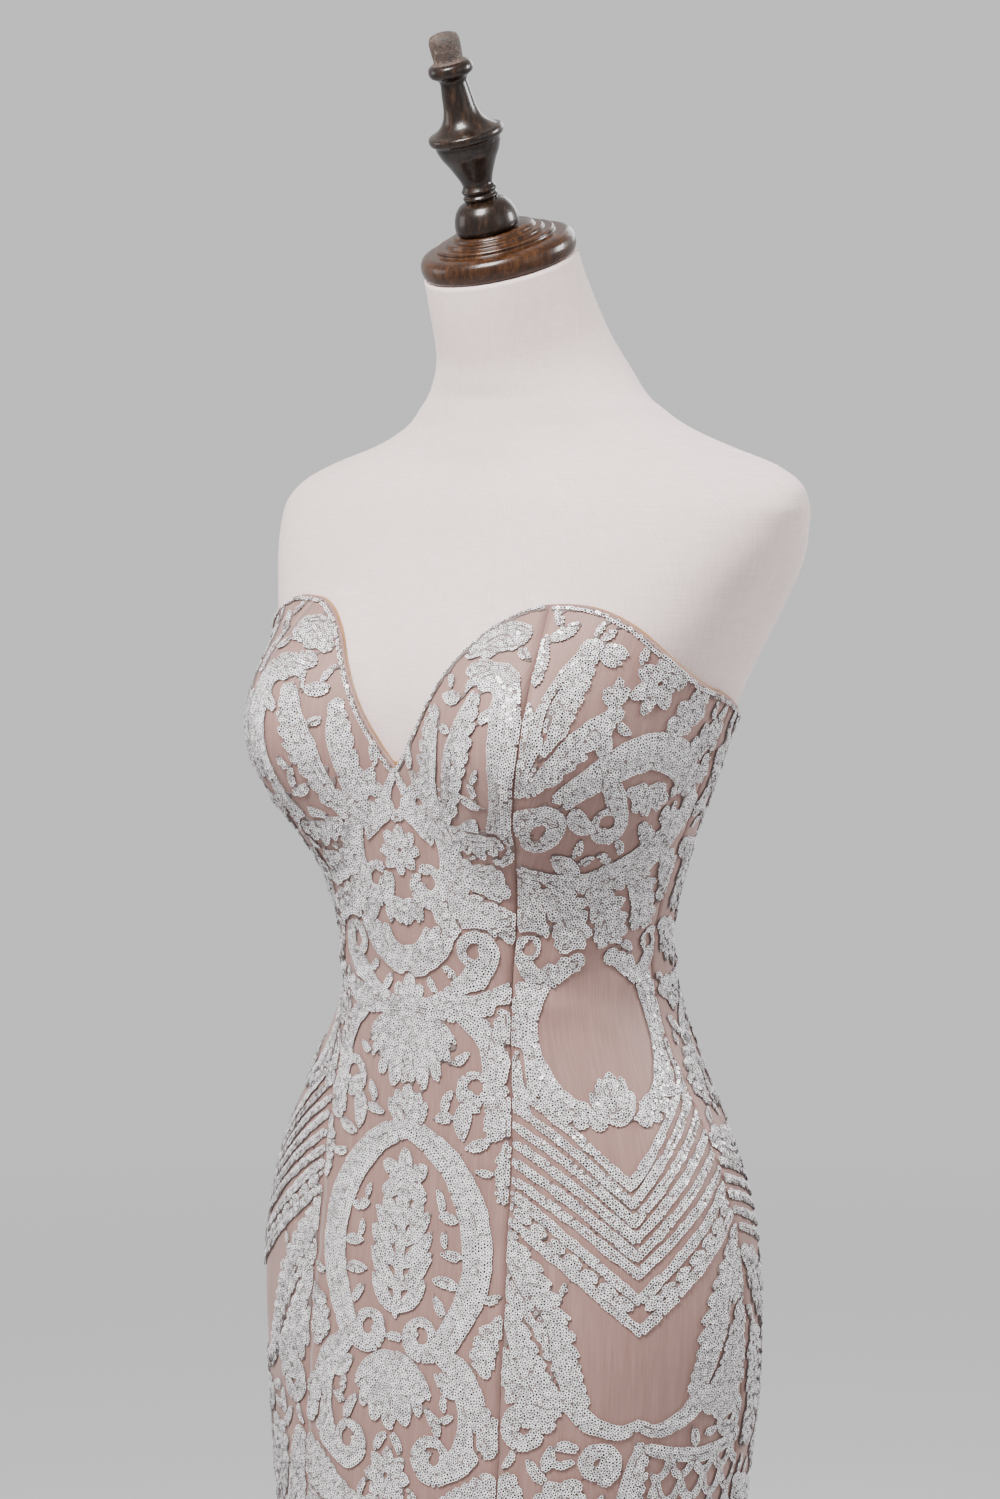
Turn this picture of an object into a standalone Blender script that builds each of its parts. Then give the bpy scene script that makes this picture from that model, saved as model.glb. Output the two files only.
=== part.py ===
# A strapless mermaid wedding dress on a limbless dress form with a turned neck
# cap, finial, pole and round base. Metres, +Z up. The front faces -Y, the
# wearer's left is +X, and the origin is on the floor, under the pole's axis.
import math

import bmesh
import bpy
import numpy as np
from mathutils import Matrix, Vector

# ---- shape begins
# ---------------------------------------------------------------- driving sizes
CLOTH = 0.0018  # cloth wall: sequinned mesh, satin and lining, sewn as one
SEAM_GAP = 0.0003  # clear space between neighbouring pieces
FACING = 0.0011  # wall of the bias facing inside the top edge
FACING_PROUD = 0.0012  # how far its fold stands above the top edge
FORM_INSET = 0.0040  # from the dress's outer face to the form
HEM_Z = 0.004  # the hem clears the floor by this
WAIST_Z = 1.080
BUST_Z = 1.226
HIP_Z = 0.854
NECK_V_Z = 1.2125  # the lowest point of the V at the centre front
TORSO_FLOOR_Z = 0.802  # the underside of the form's torso, inside the skirt
LEAN = math.radians(20.0)  # the neck's lean to the front

# Level sections of the dress up to its top edge, and of the form above it.
# Each is a squared ellipse with its own depth before and behind its centre.
# height, half_width, front_depth, back_depth, centre_y, squareness
FIGURE = (
    (0.000, 0.4000, 0.3600, 0.5000, 0.000, 2.00),
    (0.040, 0.3700, 0.3330, 0.4520, 0.000, 2.00),
    (0.100, 0.3230, 0.2880, 0.3820, 0.000, 2.00),
    (0.180, 0.2660, 0.2330, 0.3020, 0.000, 2.00),
    (0.260, 0.2190, 0.1880, 0.2380, 0.000, 2.00),
    (0.340, 0.1860, 0.1560, 0.1910, 0.001, 2.02),
    (0.420, 0.1660, 0.1360, 0.1610, 0.002, 2.05),
    (0.500, 0.1560, 0.1260, 0.1450, 0.002, 2.08),
    (0.580, 0.1535, 0.1220, 0.1380, 0.003, 2.10),
    (0.660, 0.1575, 0.1215, 0.1370, 0.003, 2.10),
    (0.740, 0.1655, 0.1205, 0.1385, 0.0035, 2.10),
    (0.780, 0.1710, 0.1180, 0.1395, 0.0040, 2.10),
    (0.820, 0.1757, 0.1145, 0.1395, 0.0035, 2.10),
    (0.854, 0.1787, 0.1093, 0.1360, 0.0020, 2.10),
    (0.890, 0.1780, 0.1040, 0.1315, 0.0015, 2.10),
    (0.930, 0.1708, 0.1008, 0.1285, 0.0025, 2.10),
    (0.970, 0.1555, 0.0985, 0.1225, 0.0038, 2.10),
    (1.010, 0.1330, 0.0985, 0.1175, 0.0055, 2.10),
    (1.050, 0.1135, 0.0985, 0.1105, 0.0068, 2.10),
    (1.080, 0.1078, 0.0982, 0.1045, 0.0063, 2.10),
    (1.110, 0.1124, 0.0990, 0.1020, 0.0044, 2.10),
    (1.150, 0.1270, 0.1005, 0.1010, 0.0010, 2.15),
    (1.190, 0.1415, 0.1050, 0.1050, 0.0015, 2.22),
    (1.230, 0.1545, 0.1120, 0.1105, 0.0048, 2.30),
    (1.270, 0.1665, 0.1130, 0.1145, 0.0115, 2.40),
    (1.300, 0.1765, 0.1050, 0.1150, 0.0190, 2.50),
    (1.320, 0.1835, 0.0980, 0.1120, 0.0255, 2.55),
    (1.340, 0.1915, 0.0920, 0.1060, 0.0315, 2.50),
    (1.360, 0.1975, 0.0870, 0.0960, 0.0360, 2.35),
    (1.376, 0.2000, 0.0850, 0.0850, 0.0410, 2.12),
    (1.390, 0.1925, 0.0850, 0.0740, 0.0480, 1.82),
    (1.400, 0.1735, 0.0860, 0.0660, 0.0530, 1.65),
    (1.410, 0.1420, 0.0860, 0.0610, 0.0550, 1.60),
    (1.422, 0.1095, 0.0800, 0.0590, 0.0520, 1.72),
    (1.440, 0.0795, 0.0690, 0.0590, 0.0430, 1.95),
)
# The neck above those sections: rings square to a line that leans forward.
# height, half_width, half_depth, centre_y, lean_share
NECK = (
    (1.457, 0.0655, 0.0615, 0.0335, 0.35),
    (1.475, 0.0570, 0.0560, 0.0245, 0.70),
    (1.494, 0.0530, 0.0530, 0.0150, 1.00),
    (1.511, 0.0512, 0.0512, 0.0070, 1.00),
    (1.5265, 0.0500, 0.0500, 0.0008, 1.00),
)
# The two bust cups, raised from the sections above.
CUP_X = 0.083
CUP_RISE = 0.0345
CUP_OUTWARD = math.radians(32.0)
CUP_REACH_X, CUP_REACH_UP, CUP_REACH_DOWN = 0.082, 0.106, 0.095

# The top edge, from the centre front round to the centre back.
# degrees round, height
TOP_EDGE = (
    (0.0, 1.2125),
    (1.0, 1.2170),
    (2.5, 1.2262),
    (4.8, 1.2420),
    (7.0, 1.2595),
    (9.5, 1.2775),
    (12.0, 1.2915),
    (16.0, 1.3048),
    (20.5, 1.3125),
    (27.0, 1.3153),
    (36.0, 1.3137),
    (45.0, 1.3075),
    (53.0, 1.3000),
    (66.0, 1.2850),
    (82.0, 1.2675),
    (99.0, 1.2530),
    (117.0, 1.2425),
    (145.0, 1.2360),
    (180.0, 1.2345),
)
# Where the seams run, in degrees round from the centre front.
# height, princess_seam, side_seam
SEAMS = (
    (0.000, 30.0, 98.0),
    (0.300, 29.0, 98.0),
    (0.600, 27.5, 98.0),
    (0.766, 26.4, 98.0),
    (0.860, 24.8, 98.0),
    (0.925, 25.0, 97.5),
    (0.975, 28.0, 97.0),
    (1.030, 33.2, 96.5),
    (1.080, 37.2, 96.5),
    (1.112, 38.0, 97.0),
    (1.150, 35.9, 97.5),
    (1.190, 32.9, 98.0),
    (1.235, 32.4, 98.0),
    (1.275, 30.2, 98.0),
    (1.320, 24.5, 98.0),
)
# Soft flutes of the flared hem: where each stands, how far it swings, how wide.
# degrees, rise, half_width_degrees
FLUTES = (
    (0.0, 0.040, 19.0),
    (41.0, 0.050, 20.0),
    (86.0, 0.044, 22.0),
    (129.0, 0.056, 20.0),
    (168.0, 0.060, 18.0),
    (-44.0, 0.046, 21.0),
    (-88.0, 0.050, 20.0),
    (-132.0, 0.054, 21.0),
)
FLUTE_START_Z = 0.600
# Rows of the panels: level ones up to this height, then shares of the way to
# the top edge.
LEVEL_ROWS = (
    0.004, 0.030, 0.065, 0.105, 0.150, 0.200, 0.250, 0.300, 0.355, 0.415,
    0.480, 0.550, 0.620, 0.690, 0.750, 0.802, 0.846, 0.888, 0.928, 0.966,
    1.002, 1.036, 1.066, 1.096, 1.128,
)
TOP_SHARES = (0.16, 0.32, 0.48, 0.64, 0.80, 0.92, 1.0)
FACING_SHARES = (0.80, 0.92, 1.0)
# Rows of the form's torso under the dress, over the chest and over the shoulders.
TORSO_ROWS = (0.802, 0.888, 0.966, 1.002, 1.036, 1.066, 1.096, 1.128)
CHEST_SHARES = (0.22, 0.48, 0.75, 1.0)
CHEST_CEILING = 1.345
SHOULDER_ROWS = (1.360, 1.374, 1.386, 1.396, 1.405, 1.414, 1.426, 1.440)
# Pieces as cut: name, from seam, to seam, columns of quads
PANELS = (
    ("front_panel", -1, 1, 16),
    ("side_front_left", 1, 2, 12),
    ("side_front_right", -2, -1, 12),
    ("back_left", 2, 3, 13),
    ("back_right", -3, -2, 13),
)
# Turned profiles: radius, height up the axis from the cap's seat.
CAP_PROFILE = (
    (0.0478, 0.0000), (0.0490, 0.0012), (0.0500, 0.0038), (0.0504, 0.0072),
    (0.0497, 0.0108), (0.0476, 0.0134), (0.0440, 0.0146), (0.0390, 0.0149),
    (0.0382, 0.0160), (0.0382, 0.0172), (0.0370, 0.0181), (0.0326, 0.0183),
    (0.0318, 0.0196), (0.0310, 0.0206), (0.0272, 0.0210), (0.0264, 0.0224),
    (0.0254, 0.0234),
)
FINIAL_FORWARD = 0.0045  # the finial is screwed in this far before the cap's middle
FINIAL_LEAN = LEAN + math.radians(1.5)  # and leans a little more than the neck
FINIAL_PROFILE = (
    (0.0188, 0.0000), (0.0203, 0.0018), (0.0206, 0.0052), (0.0198, 0.0096),
    (0.0180, 0.0140), (0.0150, 0.0176), (0.0118, 0.0192), (0.0102, 0.0198),
    (0.0110, 0.0212), (0.0113, 0.0224), (0.0102, 0.0240), (0.0108, 0.0254),
    (0.0113, 0.0268), (0.0104, 0.0284), (0.0096, 0.0306), (0.0112, 0.0354),
    (0.0150, 0.0436), (0.0186, 0.0500), (0.0206, 0.0556), (0.0210, 0.0584),
    (0.0232, 0.0598), (0.0241, 0.0622), (0.0234, 0.0646), (0.0200, 0.0660),
    (0.0152, 0.0694), (0.0122, 0.0738), (0.0104, 0.0800), (0.0094, 0.0890),
    (0.0086, 0.0962), (0.0098, 0.0990), (0.0132, 0.1012), (0.0143, 0.1042),
    (0.0134, 0.1074), (0.0104, 0.1092), (0.0094, 0.1108), (0.0097, 0.1160),
    (0.0098, 0.1220), (0.0086, 0.1256), (0.0050, 0.1272),
)
POLE_RADIUS = 0.0125
SOCKET_PROFILE = ((0.030, 0.0), (0.034, 0.004), (0.034, 0.012), (0.024, 0.020))
BASE_PROFILE = (
    (0.1360, 0.0000), (0.1400, 0.0030), (0.1400, 0.0120), (0.1375, 0.0165),
    (0.1310, 0.0190), (0.1190, 0.0200), (0.1160, 0.0225), (0.1100, 0.0245),
    (0.0500, 0.0290), (0.0360, 0.0330), (0.0280, 0.0430), (0.0240, 0.0560),
    (0.0215, 0.0600),
)


# ------------------------------------------------------------- the figure's form
def smooth_column(rows, column, at):
    """A table's column read between its rows by a smooth curve through them."""
    rows = np.asarray(rows, float)
    x, y = rows[:, 0], rows[:, column]
    slope = np.diff(y) / np.diff(x)
    tangent = np.empty_like(y)
    tangent[0], tangent[-1] = slope[0], slope[-1]
    before, after = np.diff(x)[:-1], np.diff(x)[1:]
    tangent[1:-1] = (slope[:-1] * after + slope[1:] * before) / (before + after)
    at = np.clip(np.asarray(at, float), x[0], x[-1])
    i = np.clip(np.searchsorted(x, at, side="right") - 1, 0, len(x) - 2)
    h = x[i + 1] - x[i]
    t = (at - x[i]) / h
    return (
        y[i] * (1 + 2 * t) * (1 - t) ** 2
        + tangent[i] * h * t * (1 - t) ** 2
        + y[i + 1] * t * t * (3 - 2 * t)
        - tangent[i + 1] * h * t * t * (1 - t)
    )


def flute_swing(theta, z):
    """How far the hem's flutes carry the skirt out or in, at an angle and height."""
    deg = np.degrees(theta)
    grown = np.clip((FLUTE_START_Z - z) / FLUTE_START_Z, 0, 1) ** 1.8
    swing = np.zeros(np.broadcast(theta, z).shape)
    for centre, rise, half in FLUTES:
        away = (deg - centre + 180.0) % 360.0 - 180.0
        near = np.clip(np.abs(away) / half, 0, 1)
        swing = swing + rise * (0.5 + 0.5 * np.cos(np.pi * near))
    return grown * (swing - 0.024)


def surface(theta, z):
    """The dress's outer face, and above its top edge the form's, at an angle round
    from the centre front (positive towards the wearer's left) and a height."""
    theta, z = np.broadcast_arrays(np.asarray(theta, float), np.asarray(z, float))
    half = smooth_column(FIGURE, 1, z)
    front = smooth_column(FIGURE, 2, z)
    back = smooth_column(FIGURE, 3, z)
    centre = smooth_column(FIGURE, 4, z)
    power = 2.0 / smooth_column(FIGURE, 5, z)
    s, c = np.sin(theta), np.cos(theta)
    swing = flute_swing(theta, z)
    x = half * np.sign(s) * np.abs(s) ** power
    y = centre - np.where(c > 0, front, back) * np.sign(c) * np.abs(c) ** power
    x = x + swing * s
    y = y - swing * c
    lift = z - BUST_Z
    up = lift / np.where(lift > 0, CUP_REACH_UP, CUP_REACH_DOWN)
    for side in (-1, 1):
        r2 = ((x - side * CUP_X) / CUP_REACH_X) ** 2 + up**2
        rise = np.where(c > 0, CUP_RISE * np.clip(1 - r2, 0, 1) ** 2, 0.0)
        x = x + side * rise * math.sin(CUP_OUTWARD)
        y = y - rise * math.cos(CUP_OUTWARD)
    return np.stack([x, y, z], axis=-1)


def moved_out(theta, z, distance):
    """Points of that face moved along its normal (in for a negative distance)."""
    d = 1e-4
    round_it = surface(theta + d, z) - surface(theta - d, z)
    up_it = surface(theta, z + d) - surface(theta, z - d)
    normal = np.cross(round_it, up_it)
    normal /= np.maximum(np.linalg.norm(normal, axis=-1, keepdims=True), 1e-12)
    return surface(theta, z) + normal * np.asarray(distance)[..., None]


def top_edge(theta):
    deg = np.abs((np.degrees(theta) + 180.0) % 360.0 - 180.0)
    return smooth_column(TOP_EDGE, 1, deg)


def seam_angle(number, z):
    """Seam 1 is the princess seam, 2 the side seam and 3 the centre back."""
    if abs(number) == 3:
        deg = np.full(np.shape(z), 180.0)
    else:
        deg = smooth_column(SEAMS, abs(number), z)
    return np.radians(deg) * np.sign(number)


def columns_at(start, end, columns, z):
    """Angles of evenly spaced columns between two seams, at heights z."""
    u = np.linspace(0, 1, columns + 1)
    a, b = seam_angle(start, z), seam_angle(end, z)
    return a + (b - a) * u


def panel_rows(start, end, columns, levels, shares, ceiling=None):
    """Angles and heights of points up and round a panel: level rows, then rows a
    share of the way from the last level to the top edge, or from there to a
    level ceiling."""
    flat = np.zeros(columns + 1)
    rows = [(columns_at(start, end, columns, flat + z), flat + z) for z in levels]
    for share in shares:
        z = flat + LEVEL_ROWS[-1]
        for _ in range(8):
            theta = columns_at(start, end, columns, z)
            edge = top_edge(theta)
            low, high = (LEVEL_ROWS[-1], edge) if ceiling is None else (edge, ceiling)
            z = low + share * (high - low)
        rows.append((theta, z))
    return np.array([r[0] for r in rows]), np.array([r[1] for r in rows])


def panel_grid(start, end, columns):
    """A panel's own points; each long edge stands half a gap from its seam."""
    theta, z = panel_rows(start, end, columns, LEVEL_ROWS, TOP_SHARES)
    back_off = SEAM_GAP / 2 + 0.00001
    for column, turn in ((0, 1), (-1, -1)):
        a, h = theta[:, column], z[:, column]
        step = np.linalg.norm(surface(a + 1e-3, h) - surface(a - 1e-3, h), axis=-1)
        theta[:, column] += turn * back_off / (step / 2e-3)
    return theta, z


def round_rows(levels, shares, ceiling=None):
    """The same rows carried all round, from the centre back to the centre back."""
    parts = [
        panel_rows(start, end, columns, levels, shares, ceiling)
        for _, start, end, columns in sorted(PANELS, key=lambda p: p[1])
    ]
    kept = [(t[:, :-1], z[:, :-1]) for t, z in parts[:-1]] + [parts[-1]]
    return (
        np.concatenate([t for t, _ in kept], axis=1),
        np.concatenate([z for _, z in kept], axis=1),
    )
# ---- shape ends


# ------------------------------------------------------------------ mesh helpers
def fresh_scene():
    for obj in list(bpy.data.objects):
        bpy.data.objects.remove(obj, do_unlink=True)


def material(name, colour, roughness, metallic=0.0):
    mat = bpy.data.materials.new(name)
    mat.use_nodes = True
    shader = mat.node_tree.nodes["Principled BSDF"]
    shader.inputs["Base Color"].default_value = (*colour, 1.0)
    shader.inputs["Roughness"].default_value = roughness
    shader.inputs["Metallic"].default_value = metallic
    return mat


def make(name, points, faces, mat, origin=None):
    mesh = bpy.data.meshes.new(name)
    points = np.asarray(points, float)
    if origin is not None:
        points = points - np.asarray(origin)
    mesh.from_pydata([tuple(p) for p in points], [], faces)
    mesh.update()
    bm = bmesh.new()
    bm.from_mesh(mesh)
    bmesh.ops.recalc_face_normals(bm, faces=bm.faces)
    bmesh.ops.triangulate(bm, faces=bm.faces)
    if bm.calc_volume(signed=True) < 0:
        bmesh.ops.reverse_faces(bm, faces=bm.faces)
    bm.to_mesh(mesh)
    bm.free()
    mesh.materials.append(mat)
    obj = bpy.data.objects.new(name, mesh)
    bpy.context.scene.collection.objects.link(obj)
    if origin is not None:
        obj.location = Vector(origin)
    return obj


def wall(outer, inner):
    """A closed wall between two grids of points (rows, columns, 3)."""
    rows, columns = outer.shape[:2]
    points = np.concatenate([outer.reshape(-1, 3), inner.reshape(-1, 3)])
    under = rows * columns
    faces = []
    for r in range(rows - 1):
        for c in range(columns - 1):
            a = r * columns + c
            b, d, e = a + 1, a + columns, a + columns + 1
            faces.append((a, b, e, d))
            faces.append((under + a, under + d, under + e, under + b))
    rim = [(0, c) for c in range(columns)]
    rim += [(r, columns - 1) for r in range(1, rows)]
    rim += [(rows - 1, c) for c in range(columns - 2, -1, -1)]
    rim += [(r, 0) for r in range(rows - 2, 0, -1)]
    loop = [r * columns + c for r, c in rim]
    for i, a in enumerate(loop):
        b = loop[(i + 1) % len(loop)]
        faces.append((a, under + a, under + b, b))
    return points, faces


def stacked_rings(rings):
    """A closed solid through rings of equal point counts, capped at both ends."""
    count = len(rings[0])
    points = np.concatenate(rings)
    faces = []
    for r in range(len(rings) - 1):
        for c in range(count):
            a, b = r * count + c, r * count + (c + 1) % count
            faces.append((a, b, b + count, a + count))
    faces.append(tuple(reversed(range(count))))
    last = (len(rings) - 1) * count
    faces.append(tuple(range(last, last + count)))
    return points, faces


def turned(profile, seat, lean, segments):
    """A turned solid: its profile spun about a line that leans to the front."""
    turn = Matrix.Rotation(lean, 3, "X")
    angles = np.linspace(0, 2 * np.pi, segments, endpoint=False)
    rings = []
    for radius, height in profile:
        ring = np.stack(
            [radius * np.sin(angles), -radius * np.cos(angles), np.full(segments, height)],
            axis=-1,
        )
        rings.append(ring @ np.array(turn).T + np.asarray(seat))
    return stacked_rings(rings)


# ------------------------------------------------------------------- build it all
fresh_scene()

gown_white = material("gown_cloth", (0.74, 0.66, 0.63), 0.6)
facing_tan = material("facing_satin", (0.66, 0.46, 0.27), 0.45)
form_linen = material("form_linen", (0.80, 0.76, 0.75), 0.85)
cap_wood = material("cap_wood", (0.16, 0.06, 0.025), 0.2)
finial_wood = material("finial_wood", (0.03, 0.015, 0.01), 0.2)
stand_metal = material("stand_metal", (0.05, 0.045, 0.04), 0.35, 0.9)

# The cut pieces of the dress, each a wall of cloth between its seams.
for name, start, end, columns in PANELS:
    theta, z = panel_grid(start, end, columns)
    outer = moved_out(theta, z, np.zeros_like(z))
    inner = moved_out(theta, z, np.full_like(z, -CLOTH))
    inner[0, :, 2] = z[0]
    points, faces = wall(outer, inner)
    make(name, points, faces, gown_white)

# The facing inside the top edge: the panels' own points moved in, with its fold
# standing just above them, open at the centre back.
theta, z = round_rows((), FACING_SHARES)
theta = np.concatenate([theta, theta[-1:]])
z = np.concatenate([z, z[-1:] + FACING_PROUD])
theta[:, 0] += 0.003
theta[:, -1] -= 0.003
outer = moved_out(theta, z, np.full_like(z, -CLOTH - SEAM_GAP))
inner = moved_out(theta, z, np.full_like(z, -CLOTH - SEAM_GAP - FACING))
points, faces = wall(outer, inner)
make("neck_facing", points, faces, facing_tan)

# The form's torso: rings under the dress from the panels' own columns, then up
# over the chest and shoulders into the leaning neck.
under = round_rows(TORSO_ROWS, TOP_SHARES)
chest = round_rows((), CHEST_SHARES, CHEST_CEILING)
above = round_rows(SHOULDER_ROWS, ())
rings = []
for (thetas, heights), inset in (
    (under, np.full(len(under[0]), FORM_INSET)),
    (chest, FORM_INSET * (1 - np.array(CHEST_SHARES)) ** 1.5),
    (above, np.zeros(len(above[0]))),
):
    for angles, height, depth in zip(thetas[:, :-1], heights[:, :-1], inset):
        ring = moved_out(angles, height, np.full(len(angles), -depth))
        rings.append(ring)
rings[0][:, 2] = TORSO_FLOOR_Z
for height, half, depth, centre, share in NECK:
    ring = np.stack(
        [half * np.sin(angles), -depth * np.cos(angles), np.zeros(len(angles))],
        axis=-1,
    )
    turn = np.array(Matrix.Rotation(LEAN * share, 3, "X"))
    rings.append(ring @ turn.T + np.array([0.0, centre, height]))
points, faces = stacked_rings(rings)
make("form_torso", points, faces, form_linen)

# The turned neck cap and finial, square to the neck.
up_neck = np.array([0.0, -math.sin(LEAN), math.cos(LEAN)])
neck_top = np.array([0.0, NECK[-1][3], NECK[-1][0]])
cap_seat = neck_top + up_neck * SEAM_GAP
points, faces = turned(CAP_PROFILE, cap_seat, LEAN, 28)
make("neck_cap", points, faces, cap_wood)
front_neck = np.array([0.0, -math.cos(LEAN), -math.sin(LEAN)])
finial_seat = cap_seat + up_neck * (CAP_PROFILE[-1][1] + SEAM_GAP)
finial_seat = finial_seat + front_neck * FINIAL_FORWARD
finial_seat = finial_seat + up_neck * FINIAL_PROFILE[2][0] * math.sin(FINIAL_LEAN - LEAN)
points, faces = turned(FINIAL_PROFILE, finial_seat, FINIAL_LEAN, 18)
make("finial", points, faces, finial_wood)

# The stand: a socket under the torso, a pole and a round base on the floor.
socket_top = TORSO_FLOOR_Z - SEAM_GAP
socket = [(r, socket_top - h) for r, h in SOCKET_PROFILE][::-1]
points, faces = turned(socket, (0, 0, 0), 0.0, 28)
make("pole_socket", points, faces, stand_metal)
pole = [(POLE_RADIUS, BASE_PROFILE[-1][1] + SEAM_GAP), (POLE_RADIUS, socket[0][1] - SEAM_GAP)]
points, faces = turned(pole, (0, 0, 0), 0.0, 28)
make("pole", points, faces, stand_metal)
points, faces = turned(BASE_PROFILE, (0, 0, 0), 0.0, 36)
make("base", points, faces, stand_metal)
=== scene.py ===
import math

import bmesh
import bpy
import numpy as np
from mathutils import Matrix, Vector


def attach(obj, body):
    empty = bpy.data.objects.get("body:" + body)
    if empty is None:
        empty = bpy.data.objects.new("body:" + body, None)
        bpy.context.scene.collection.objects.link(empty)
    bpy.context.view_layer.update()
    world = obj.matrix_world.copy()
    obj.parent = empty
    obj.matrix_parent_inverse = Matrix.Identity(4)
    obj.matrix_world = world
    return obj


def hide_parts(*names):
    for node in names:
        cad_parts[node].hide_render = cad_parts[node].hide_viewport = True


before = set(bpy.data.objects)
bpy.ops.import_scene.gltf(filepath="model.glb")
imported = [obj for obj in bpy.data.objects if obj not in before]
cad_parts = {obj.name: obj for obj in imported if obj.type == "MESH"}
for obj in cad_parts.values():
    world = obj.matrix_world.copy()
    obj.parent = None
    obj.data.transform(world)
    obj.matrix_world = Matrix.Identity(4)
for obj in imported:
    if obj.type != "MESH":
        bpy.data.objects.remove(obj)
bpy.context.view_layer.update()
# ---------------------------------------------------------------- driving sizes
CLOTH = 0.0018  # cloth wall: sequinned mesh, satin and lining, sewn as one
SEAM_GAP = 0.0003  # clear space between neighbouring pieces
FACING = 0.0011  # wall of the bias facing inside the top edge
FACING_PROUD = 0.0012  # how far its fold stands above the top edge
FORM_INSET = 0.0040  # from the dress's outer face to the form
HEM_Z = 0.004  # the hem clears the floor by this
WAIST_Z = 1.080
BUST_Z = 1.226
HIP_Z = 0.854
NECK_V_Z = 1.2125  # the lowest point of the V at the centre front
TORSO_FLOOR_Z = 0.802  # the underside of the form's torso, inside the skirt
LEAN = math.radians(20.0)  # the neck's lean to the front

# Level sections of the dress up to its top edge, and of the form above it.
# Each is a squared ellipse with its own depth before and behind its centre.
# height, half_width, front_depth, back_depth, centre_y, squareness
FIGURE = (
    (0.000, 0.4000, 0.3600, 0.5000, 0.000, 2.00),
    (0.040, 0.3700, 0.3330, 0.4520, 0.000, 2.00),
    (0.100, 0.3230, 0.2880, 0.3820, 0.000, 2.00),
    (0.180, 0.2660, 0.2330, 0.3020, 0.000, 2.00),
    (0.260, 0.2190, 0.1880, 0.2380, 0.000, 2.00),
    (0.340, 0.1860, 0.1560, 0.1910, 0.001, 2.02),
    (0.420, 0.1660, 0.1360, 0.1610, 0.002, 2.05),
    (0.500, 0.1560, 0.1260, 0.1450, 0.002, 2.08),
    (0.580, 0.1535, 0.1220, 0.1380, 0.003, 2.10),
    (0.660, 0.1575, 0.1215, 0.1370, 0.003, 2.10),
    (0.740, 0.1655, 0.1205, 0.1385, 0.0035, 2.10),
    (0.780, 0.1710, 0.1180, 0.1395, 0.0040, 2.10),
    (0.820, 0.1757, 0.1145, 0.1395, 0.0035, 2.10),
    (0.854, 0.1787, 0.1093, 0.1360, 0.0020, 2.10),
    (0.890, 0.1780, 0.1040, 0.1315, 0.0015, 2.10),
    (0.930, 0.1708, 0.1008, 0.1285, 0.0025, 2.10),
    (0.970, 0.1555, 0.0985, 0.1225, 0.0038, 2.10),
    (1.010, 0.1330, 0.0985, 0.1175, 0.0055, 2.10),
    (1.050, 0.1135, 0.0985, 0.1105, 0.0068, 2.10),
    (1.080, 0.1078, 0.0982, 0.1045, 0.0063, 2.10),
    (1.110, 0.1124, 0.0990, 0.1020, 0.0044, 2.10),
    (1.150, 0.1270, 0.1005, 0.1010, 0.0010, 2.15),
    (1.190, 0.1415, 0.1050, 0.1050, 0.0015, 2.22),
    (1.230, 0.1545, 0.1120, 0.1105, 0.0048, 2.30),
    (1.270, 0.1665, 0.1130, 0.1145, 0.0115, 2.40),
    (1.300, 0.1765, 0.1050, 0.1150, 0.0190, 2.50),
    (1.320, 0.1835, 0.0980, 0.1120, 0.0255, 2.55),
    (1.340, 0.1915, 0.0920, 0.1060, 0.0315, 2.50),
    (1.360, 0.1975, 0.0870, 0.0960, 0.0360, 2.35),
    (1.376, 0.2000, 0.0850, 0.0850, 0.0410, 2.12),
    (1.390, 0.1925, 0.0850, 0.0740, 0.0480, 1.82),
    (1.400, 0.1735, 0.0860, 0.0660, 0.0530, 1.65),
    (1.410, 0.1420, 0.0860, 0.0610, 0.0550, 1.60),
    (1.422, 0.1095, 0.0800, 0.0590, 0.0520, 1.72),
    (1.440, 0.0795, 0.0690, 0.0590, 0.0430, 1.95),
)
# The neck above those sections: rings square to a line that leans forward.
# height, half_width, half_depth, centre_y, lean_share
NECK = (
    (1.457, 0.0655, 0.0615, 0.0335, 0.35),
    (1.475, 0.0570, 0.0560, 0.0245, 0.70),
    (1.494, 0.0530, 0.0530, 0.0150, 1.00),
    (1.511, 0.0512, 0.0512, 0.0070, 1.00),
    (1.5265, 0.0500, 0.0500, 0.0008, 1.00),
)
# The two bust cups, raised from the sections above.
CUP_X = 0.083
CUP_RISE = 0.0345
CUP_OUTWARD = math.radians(32.0)
CUP_REACH_X, CUP_REACH_UP, CUP_REACH_DOWN = 0.082, 0.106, 0.095

# The top edge, from the centre front round to the centre back.
# degrees round, height
TOP_EDGE = (
    (0.0, 1.2125),
    (1.0, 1.2170),
    (2.5, 1.2262),
    (4.8, 1.2420),
    (7.0, 1.2595),
    (9.5, 1.2775),
    (12.0, 1.2915),
    (16.0, 1.3048),
    (20.5, 1.3125),
    (27.0, 1.3153),
    (36.0, 1.3137),
    (45.0, 1.3075),
    (53.0, 1.3000),
    (66.0, 1.2850),
    (82.0, 1.2675),
    (99.0, 1.2530),
    (117.0, 1.2425),
    (145.0, 1.2360),
    (180.0, 1.2345),
)
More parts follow.
